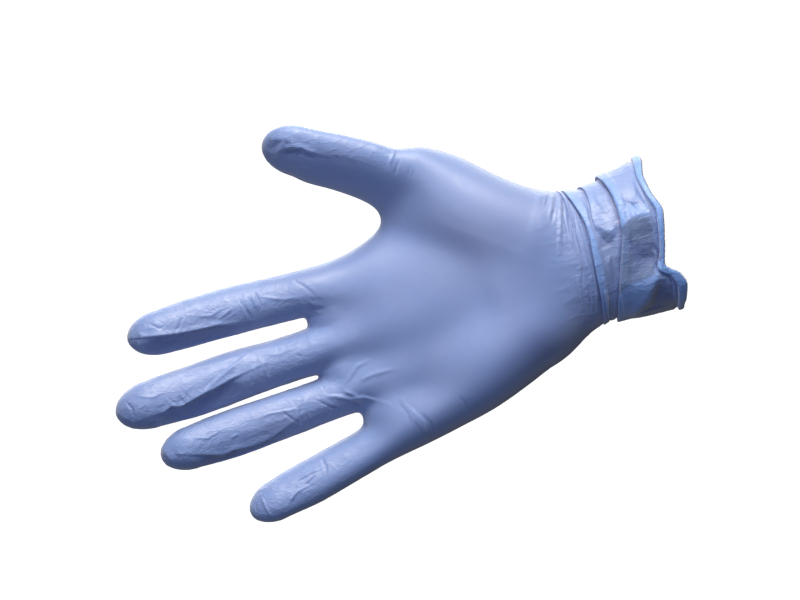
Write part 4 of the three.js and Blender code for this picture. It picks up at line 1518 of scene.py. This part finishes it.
@dataclass(frozen=True)
class NitrileFinish:
    """The satin surface of dip-moulded nitrile film: colour, grain, how it thins where it is stretched, and
    shade painted into its colour.
    """

    colour: Colour = (0.104, 0.180, 0.435)
    doubled: Colour = (0.098, 0.225, 0.575)
    stretched: Colour = (0.145, 0.200, 0.430)
    # darker grey of single film, partly painted shade of the cuff's shaded facets
    single: Colour = (0.052, 0.098, 0.240)
    # the colour of painted shade: in dents, under fold lips, along the bead and at the heel of the palm
    deep: Colour = (0.040, 0.080, 0.270)
    roughness: tuple[float, float] = (0.47, 0.59)
    clouds: Noise = Noise(55.0, 3.0)
    cloud_band: tuple[float, float] = (0.4, 0.75)
    cloud_share: float = 0.4
    fine: Noise = Noise(420.0, 4.0)
    fine_band: tuple[float, float] = (0.3, 0.7)
    pebble: Noise = Noise(2600.0, 2.0)
    pebble_share: float = 0.35
    wrinkles: Noise = Noise(330.0, 3.0)
    wrinkle_run: tuple[float, float, float] = (0.55, 1.0, 1.0)
    wrinkle_width: float = 0.07
    sheen: float = 0.5
    sheen_roughness: float = 0.55
    specular: float = 0.85
    refraction: float = 1.52
    scatter: float = 0.05
    scatter_depth: float = 0.002
    grain: float = 0.05
    grain_strength: float = 0.2
    wrinkle: float = 0.07

    def build(self) -> bpy.types.Material:
        """Makes the material.

        Returns:
            The material, with its colour, roughness and bump from nodes.
        """
        material = bpy.data.materials.new("nitrile_film")
        material.use_nodes = True
        tree = material.node_tree
        tree.nodes.clear()
        place = add_node(tree, "ShaderNodeTexCoord", {}, {}).outputs["Object"]
        fine = self.fine.add(tree, place)
        loose = self._mark(tree, "loose")
        shader = add_node(tree, "ShaderNodeBsdfPrincipled", {
            "IOR": self.refraction,
            "Sheen Weight": self.sheen,
            "Sheen Roughness": self.sheen_roughness,
            "Specular IOR Level": self.specular,
            "Subsurface Weight": self.scatter,
            "Subsurface Scale": self.scatter_depth,
        }, {
            "Base Color": self._colours(tree, place),
            "Roughness": self._range(tree, fine, self.fine_band, self.roughness),
            "Normal": self._wrinkles(tree, place, loose, self._grain(tree, place, fine)),
        })
        add_node(tree, "ShaderNodeOutputMaterial", {}, {0: shader.outputs[0]})
        return material

    def _colours(self, tree: bpy.types.NodeTree, place: Socket) -> Socket:
        """Blends the film's colours by the marks of the mesh, with the painted shade last.

        Args:
            tree: The material's nodes.
            place: The place on the glove.

        Returns:
            The colour.
        """
        clouds = self.clouds.add(tree, place)
        share = self._range(tree, clouds, self.cloud_band, (0.0, self.cloud_share))
        colour = self._mix(tree, share, self.colour, self.stretched)
        blends = (("stretched", self.stretched), ("doubled", self.doubled), ("single", self.single),
                  # the last blend is painted shade, in dents, under fold lips, along the bead and at the heel
                  ("painted_shade", self.deep))
        for name, tint in blends:
            colour = self._mix(tree, self._mark(tree, name), colour, tint)
        return colour

    def _grain(self, tree: bpy.types.NodeTree, place: Socket, fine: Socket) -> Socket:
        """Adds the fine grain of the film.

        Args:
            tree: The material's nodes.
            place: The place on the glove.
            fine: The fine noise that the grain follows.

        Returns:
            The bumped normal.
        """
        pebble = self.pebble.add(tree, place)
        height = add_node(tree, "ShaderNodeMath", {1: self.pebble_share}, {0: pebble, 2: fine})
        height.operation = "MULTIPLY_ADD"
        bump = add_node(tree, "ShaderNodeBump",
                        {"Strength": self.grain_strength, "Distance": self.grain * METRE},
                        {"Height": height.outputs[0]})
        return bump.outputs[0]

    def _wrinkles(self, tree: bpy.types.NodeTree, place: Socket, share: Socket, under: Socket) -> Socket:
        """Adds the fine crossing wrinkles of loose film.

        Args:
            tree: The material's nodes.
            place: The place on the glove.
            share: How loose the film is there.
            under: The normal that the wrinkles are laid over.

        Returns:
            The bumped normal.
        """
        run = add_node(tree, "ShaderNodeMapping", {"Scale": self.wrinkle_run}, {"Vector": place})
        wave = self.wrinkles.add(tree, run.outputs[0])
        fold = add_node(tree, "ShaderNodeMath", {1: 0.5}, {0: wave})
        fold.operation = "SUBTRACT"
        crest = add_node(tree, "ShaderNodeMath", {}, {0: fold.outputs[0]})
        crest.operation = "ABSOLUTE"
        sharp = self._range(tree, crest.outputs[0], (0.0, self.wrinkle_width), (1.0, 0.0))
        bump = add_node(tree, "ShaderNodeBump", {"Distance": self.wrinkle * METRE},
                        {"Strength": share, "Height": sharp, "Normal": under})
        return bump.outputs[0]

    def _mark(self, tree: bpy.types.NodeTree, name: str) -> Socket:
        """Adds a node that reads a mark of the mesh.

        Args:
            tree: The material's nodes.
            name: The mark.

        Returns:
            The mark's value.
        """
        node = tree.nodes.new("ShaderNodeAttribute")
        node.attribute_name = name
        return node.outputs["Fac"]

    def _range(self, tree: bpy.types.NodeTree, value: Socket, source: tuple[float, float],
               target: tuple[float, float]) -> Socket:
        """Adds a node that spreads a value over another range, and returns its result."""
        limits = dict(zip(("From Min", "From Max", "To Min", "To Max"), (*source, *target)))
        return add_node(tree, "ShaderNodeMapRange", limits, {"Value": value}).outputs["Result"]

    def _mix(self, tree: bpy.types.NodeTree, share: Socket, start: Socket | Colour, end: Colour) -> Socket:
        """Adds a node that blends one colour into another.

        Args:
            tree: The material's nodes.
            share: How much of the second colour there is.
            start: The first colour, or the socket that gives it.
            end: The second colour.

        Returns:
            The blended colour.
        """
        node = add_node(tree, "ShaderNodeMix", {}, {"Factor": share})
        node.data_type = "RGBA"
        first, second = [socket for socket in node.inputs if socket.type == "RGBA"]
        if isinstance(start, tuple):
            first.default_value = (*start, 1.0)
        else:
            tree.links.new(start, first)
        second.default_value = (*end, 1.0)
        return next(socket for socket in node.outputs if socket.type == "RGBA")


@dataclass
class Glove:
    """The whole glove: one film, from the rolled hem to the tips of the stalls."""

    finish: NitrileFinish
    form: GloveForm = GloveForm()
    cuff: Cuff = Cuff()
    film: float = 0.45
    base_passes: int = 24
    levels: tuple[tuple[int, int], ...] = ((3, 5), (2, 3), (2, 2))
    inner_level: int = 1
    most_faces: int = 190000
    least_height: float = 0.04
    facing: tuple[float, float] = (0.12, 0.5)
    held_steps: int = 1
    free_steps: int = 6
    calm: float = 0.88
    calm_from: tuple[float, float] = (-136, -120)
    calm_to: tuple[float, float] = (-50, -42)
    inner_hem_rows: int = 5
    inner_hem_lift: float = 0.1
    inner_dents: float = 1.15
    hem_round: float = 0.35
    crumples: tuple[Crumple, ...] = (
        Crumple(11, 7.5, 0.12, (1.8, 1.0, 0.8)),
        Crumple(23, 2.6, 0.06, (1.5, 1.0, 0.9)),
    )

    def build(self) -> bpy.types.Object:
        """Makes the film's mesh and its object.

        Returns:
            The glove's object, in metres, dressed with its finish.
        """
        grid = FilmGrid(self.form, self.cuff)
        grid.lay_out()
        skin = Skin.of(grid)
        for which, steps in ((skin.held, self.held_steps), (~skin.held, self.free_steps)):
            skin.points[which] = self.form.lay(skin.points[which], steps)
        skin.relax(self.base_passes)
        inside = None
        for level, (steps, passes) in enumerate(self.levels, start=1):
            skin.divide()
            skin.lay_cuff()
            free = ~skin.in_cuff
            skin.points[free] = self.form.lay(skin.points[free], steps)
            skin.held = skin.in_cuff.copy()
            skin.relax(passes)
            if level == self.inner_level:
                inside = self._inner(skin)
        outside, marks = self._outer(skin)
        return self._object(skin, outside, marks, *inside)

    def _outer(self, skin: Skin) -> tuple[Array, dict[str, Array]]:
        """Lifts the outer skin into its folds, crumples and creases.

        Args:
            skin: The finest skin.

        Returns:
            The outer points, and the marks that the finish reads, by name.
        """
        lift = skin.lay_cuff()
        out = self.form.outward(skin.points)
        rest = skin.points + out * lift[:, None]
        raised = self._raised(rest, out)
        x = skin.points[:, 0]
        calm = 1 - self.calm * smoothstep(x, *self.calm_from) * (1 - smoothstep(x, *self.calm_to))
        for crumple in self.crumples:
            raised += crumple.height_at(rest) * calm
        return rest + out * raised[:, None], FilmMarks(self.cuff).read(skin, raised, out)

    def _raised(self, p: Array, out: Array) -> Array:
        """Works out how far the creases and facets lift the film.

        Args:
            p: Points, one a row.
            out: The outward direction at each point.

        Returns:
            The lift of each point, in millimetres.
        """
        flat = p[:, [0, 2]]
        raised = np.zeros(len(p))
        for side, creases in self._sorted_creases().items():
            weight = smoothstep(out[:, 1] * side.value, *self.facing)
            for crease in creases:
                line = np.array(crease.line)
                low, high = line.min(axis=0) - crease.reach, line.max(axis=0) + crease.reach
                near = np.flatnonzero(np.all((flat > low) & (flat < high), axis=1) & (weight > 0))
                raised[near] += crease.height_at(flat[near]) * weight[near]
        return raised

    def _sorted_creases(self) -> dict[Side, list[Crease | Facets]]:
        """All the creases, by the side they are on."""
        every = palm_creases() + cuff_creases() + back_creases()
        return {side: [c for c in every if c.side is side] for side in Side}

    def _inner(self, skin: Skin) -> tuple[Array, Array]:
        """Makes the inner skin from a coarse one.

        Args:
            skin: The skin at the level that the inside is made from.

        Returns:
            The inner points, and the quads, which face into the glove.
        """
        lift = skin.lay_cuff()
        out = self.form.outward(skin.points)
        most = np.where(skin.ring[:, 0] < self.inner_hem_rows, self.inner_hem_lift, lift)
        lift = np.where(skin.in_cuff, np.minimum(lift, most), 0.0)
        lift = lift + np.minimum(self._raised(skin.points, out), 0.0) * self.inner_dents
        outer = skin.points + out * lift[:, None]
        a, b, c, d = (outer[skin.quads[:, i]] for i in range(4))
        face = np.cross(c - a, d - b)
        face /= np.linalg.norm(face, axis=1, keepdims=True)
        normal = np.zeros_like(outer)
        for i in range(4):
            for k in range(3):
                normal[:, k] += np.bincount(skin.quads[:, i], face[:, k], len(outer))
        normal /= np.linalg.norm(normal, axis=1, keepdims=True)
        return outer - normal * self.film, skin.quads[:, ::-1]

    def _hem(self, quads: Array) -> Array:
        """Finds the edges that only one quad has.

        Args:
            quads: The quads of a skin.

        Returns:
            The points of those edges, in order round the open end.
        """
        pairs = np.concatenate(quad_sides(quads))
        size = quads.max() + 1
        key, back = pairs[:, 0] * size + pairs[:, 1], pairs[:, 1] * size + pairs[:, 0]
        border = pairs[~np.isin(key, back)]
        after = dict(border.tolist())
        ring = [int(border[0, 0])]
        while after[ring[-1]] != ring[0]:
            ring.append(after[ring[-1]])
        return np.array(ring)

    def _object(self, skin: Skin, outside: Array, marks: dict[str, Array], inside: Array,
                inner_quads: Array) -> bpy.types.Object:
        """Joins both skins round the hem and makes the object.

        Args:
            skin: The finest skin, whose quads the outside has.
            outside: The outer points.
            marks: The outer points' marks.
            inside: The inner points.
            inner_quads: The inner quads.

        Returns:
            The object.
        """
        hem = self._from_thumb_side(self._hem(skin.quads), outside)
        inner_hem = self._from_thumb_side(self._hem(inner_quads)[::-1], inside)
        n, share = len(outside), len(hem) // len(inner_hem)
        middle = (outside[hem] + inside[np.repeat(inner_hem, share)]) / 2
        middle[:, 0] = np.maximum(outside[hem][:, 0], middle[:, 0]) + self.hem_round
        rim = self._rim(hem.tolist(), (inner_hem + n).tolist(), n + len(inside))
        faces = [*skin.quads.tolist(), *(inner_quads + n).tolist(), *rim]
        points = np.concatenate([outside, inside, middle]) * METRE
        mesh = bpy.data.meshes.new("glove_film_dressed")
        mesh.from_pydata(points.tolist(), [], faces)
        for name, values in marks.items():
            mark = mesh.attributes.new(name, "FLOAT", "POINT")
            full = np.zeros(len(points), np.float32)
            full[:n] = values
            mark.data.foreach_set("value", full)
        mesh.validate()
        mesh.polygons.foreach_set("use_smooth", np.ones(len(mesh.polygons), bool))
        mesh.materials.append(self.finish.build())
        glove = add_object("nitrile_glove_film", mesh)
        self._thin_out(glove)
        return glove

    def _rim(self, hem: list[int], inner_hem: list[int], first: int) -> list[tuple[int, ...]]:
        """Closes the hem with a strip of faces along the row of points between both skins.

        Args:
            hem: The outer points along the hem.
            inner_hem: The inner ones, fewer by a whole number of times.
            first: The first point of the row between them.

        Returns:
            The faces.
        """
        share, faces = len(hem) // len(inner_hem), []
        for i in range(len(hem)):
            j = (i + 1) % len(hem)
            faces.append((hem[j], hem[i], first + i, first + j))
            a, b = inner_hem[i // share], inner_hem[(i // share + 1) % len(inner_hem)]
            faces.append((first + j, first + i, a if i % share < share / 2 else b))
            if i % share == share // 2 - 1:
                faces.append((first + j, a, b))
        return faces

    def _from_thumb_side(self, ring: Array, points: Array) -> Array:
        """Turns a ring so that it starts at the thumb side and runs over the palm."""
        ring = np.roll(ring, -int(points[ring][:, 2].argmax()))
        return ring if points[ring[len(ring) // 4]][1] < 0 else np.roll(ring[::-1], 1)

    def _thin_out(self, glove: bpy.types.Object) -> None:
        """Drops faces where the film is smooth, down to the most that the part may have.

        Args:
            glove: The glove's object.
        """
        mesh = glove.data
        count = sum(len(face.vertices) - 2 for face in mesh.polygons)
        if count <= self.most_faces:
            return
        thin = glove.modifiers.new("thin_out", "DECIMATE")
        thin.ratio = self.most_faces / count
        bpy.context.view_layer.update()
        made = bpy.data.meshes.new_from_object(glove.evaluated_get(bpy.context.evaluated_depsgraph_get()))
        glove.modifiers.clear()
        clean = bmesh.new()
        clean.from_mesh(made)
        bmesh.ops.dissolve_degenerate(clean, dist=self.least_height * METRE, edges=clean.edges[:])
        clean.to_mesh(made)
        clean.free()
        glove.data = made
        made.name = "glove_film_dressed"


@dataclass(frozen=True)
class SoftLight:
    """One soft studio light, aimed at a point of the glove."""

    name: str
    place: tuple[float, float, float]
    size: tuple[float, float]
    watts: float
    colour: Colour = (1.0, 1.0, 1.0)

    def hang(self, aim: Vector) -> None:
        """Adds the light and turns it towards a point.

        Args:
            aim: The point.
        """
        data = bpy.data.lights.new(self.name, "AREA")
        data.shape = "RECTANGLE"
        data.size, data.size_y = self.size
        data.energy = self.watts
        data.color = self.colour
        light = add_object(self.name, data)
        light.location = self.place
        light.rotation_mode = "QUATERNION"
        light.rotation_quaternion = (aim - light.location).to_track_quat("-Z", "Y")


@dataclass(frozen=True)
class PaperFinish:
    """The plain pale paper of the floor, which glows so that it stays white."""

    colour: Colour = (0.93, 0.93, 0.93)
    roughness: float = 0.9
    glow: float = 1.0

    def build(self) -> bpy.types.Material:
        """Makes the material.

        Returns:
            The material.
        """
        material = bpy.data.materials.new("pale_paper")
        material.use_nodes = True
        inputs = material.node_tree.nodes["Principled BSDF"].inputs
        inputs["Base Color"].default_value = (*self.colour, 1.0)
        inputs["Roughness"].default_value = self.roughness
        inputs["Emission Color"].default_value = (1.0, 1.0, 1.0, 1.0)
        inputs["Emission Strength"].default_value = self.glow
        return material


@dataclass
class Studio:
    """The pale floor that sweeps up round the glove, the soft lights and the camera."""

    aim: tuple[float, float, float] = (-0.1049, 0.0, 0.00406)
    distance: float = 1.7094
    lens: float = 200.0
    sensor: float = 36.0
    clip: tuple[float, float] = (0.01, 50.0)
    roll: float = 16.0
    floor: float = -0.24
    wall: float = 3.0
    sweep: float = 0.9
    sweep_start: float = 2.3
    sweep_steps: int = 12
    sides: int = 96
    floor_start: float = 0.4
    paper: PaperFinish = PaperFinish()
    air: Colour = (0.75, 0.82, 1.0)
    air_strength: float = 0.07
    lights: tuple[SoftLight, ...] = (
        SoftLight("key_above", (0.12, -0.5, 0.88), (0.85, 0.6), 24.6, (1.0, 0.92, 0.76)),
        SoftLight("fill_front", (-0.55, -1.55, 0.2), (0.9, 0.9), 12.2, (0.80, 0.845, 1.0)),
        SoftLight("back_light", (0.0, 1.1, 0.85), (1.4, 1.0), 17.0),
    )

    def set_up(self) -> None:
        """Adds the floor, the lights and the camera."""
        self._floor()
        for light in self.lights:
            light.hang(Vector(self.aim))
        self._world()
        self._camera()

    def _floor(self) -> None:
        """Makes the pale round floor, which turns up into the backdrop all round in one sweep."""
        section = [(self.floor_start, self.floor), (self.sweep_start, self.floor)]
        for k in range(1, self.sweep_steps + 1):
            a = math.radians(90 / self.sweep_steps * k)
            section.append((self.sweep_start + self.sweep * math.sin(a),
                            self.floor + self.sweep * (1 - math.cos(a))))
        section.append((self.sweep_start + self.sweep, self.floor + self.wall))
        turns = [2 * math.pi * i / self.sides for i in range(self.sides)]
        points = [(r * math.cos(t) + self.aim[0], r * math.sin(t), z) for r, z in section for t in turns]
        rings = [range(k * self.sides, (k + 1) * self.sides) for k in range(len(section))]
        faces = [tuple(rings[0])]
        for low, high in zip(rings, rings[1:]):
            faces += [(low[i - 1], low[i], high[i], high[i - 1]) for i in range(self.sides)]
        mesh = bpy.data.meshes.new("studio_sweep")
        mesh.from_pydata(points, [], faces)
        mesh.polygons.foreach_set("use_smooth", np.ones(len(mesh.polygons), bool))
        mesh.materials.append(self.paper.build())
        sweep = add_object("studio_sweep", mesh)
        sweep.visible_diffuse = sweep.visible_glossy = sweep.visible_shadow = False

    def _world(self) -> None:
        """Sets the pale light that comes from all round."""
        world = bpy.data.worlds.new("studio_air")
        world.use_nodes = True
        background = world.node_tree.nodes["Background"]
        background.inputs["Color"].default_value = (*self.air, 1.0)
        background.inputs["Strength"].default_value = self.air_strength
        bpy.context.scene.world = world
        bpy.context.scene.view_settings.view_transform = "Standard"

    def _camera(self) -> None:
        """Adds the camera, which looks straight at the palm and is rolled as the picture is."""
        data = bpy.data.cameras.new("camera")
        data.lens = self.lens
        data.sensor_width = self.sensor
        data.clip_start, data.clip_end = self.clip
        camera = add_object("camera", data)
        a = math.radians(self.roll)
        right = Vector((math.cos(a), 0, -math.sin(a)))
        up = Vector((math.sin(a), 0, math.cos(a)))
        back = Vector((0, -1, 0))
        camera.matrix_world = Matrix.Translation(Vector(self.aim) + back * self.distance) @ Matrix(
            (right, up, back)).transposed().to_4x4()
        bpy.context.scene.camera = camera


def main() -> None:
    """Builds the glove and the studio."""
    logging.basicConfig(level=logging.INFO, format="%(name)s: %(message)s")
    glove = Glove(NitrileFinish()).build()
    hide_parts("glove_film")
    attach(glove, "root")
    log.info("%s: %d faces", glove.name, len(glove.data.polygons))
    Studio().set_up()
    log.info("studio: floor, lights and camera")


if __name__ == "__main__":
    main()
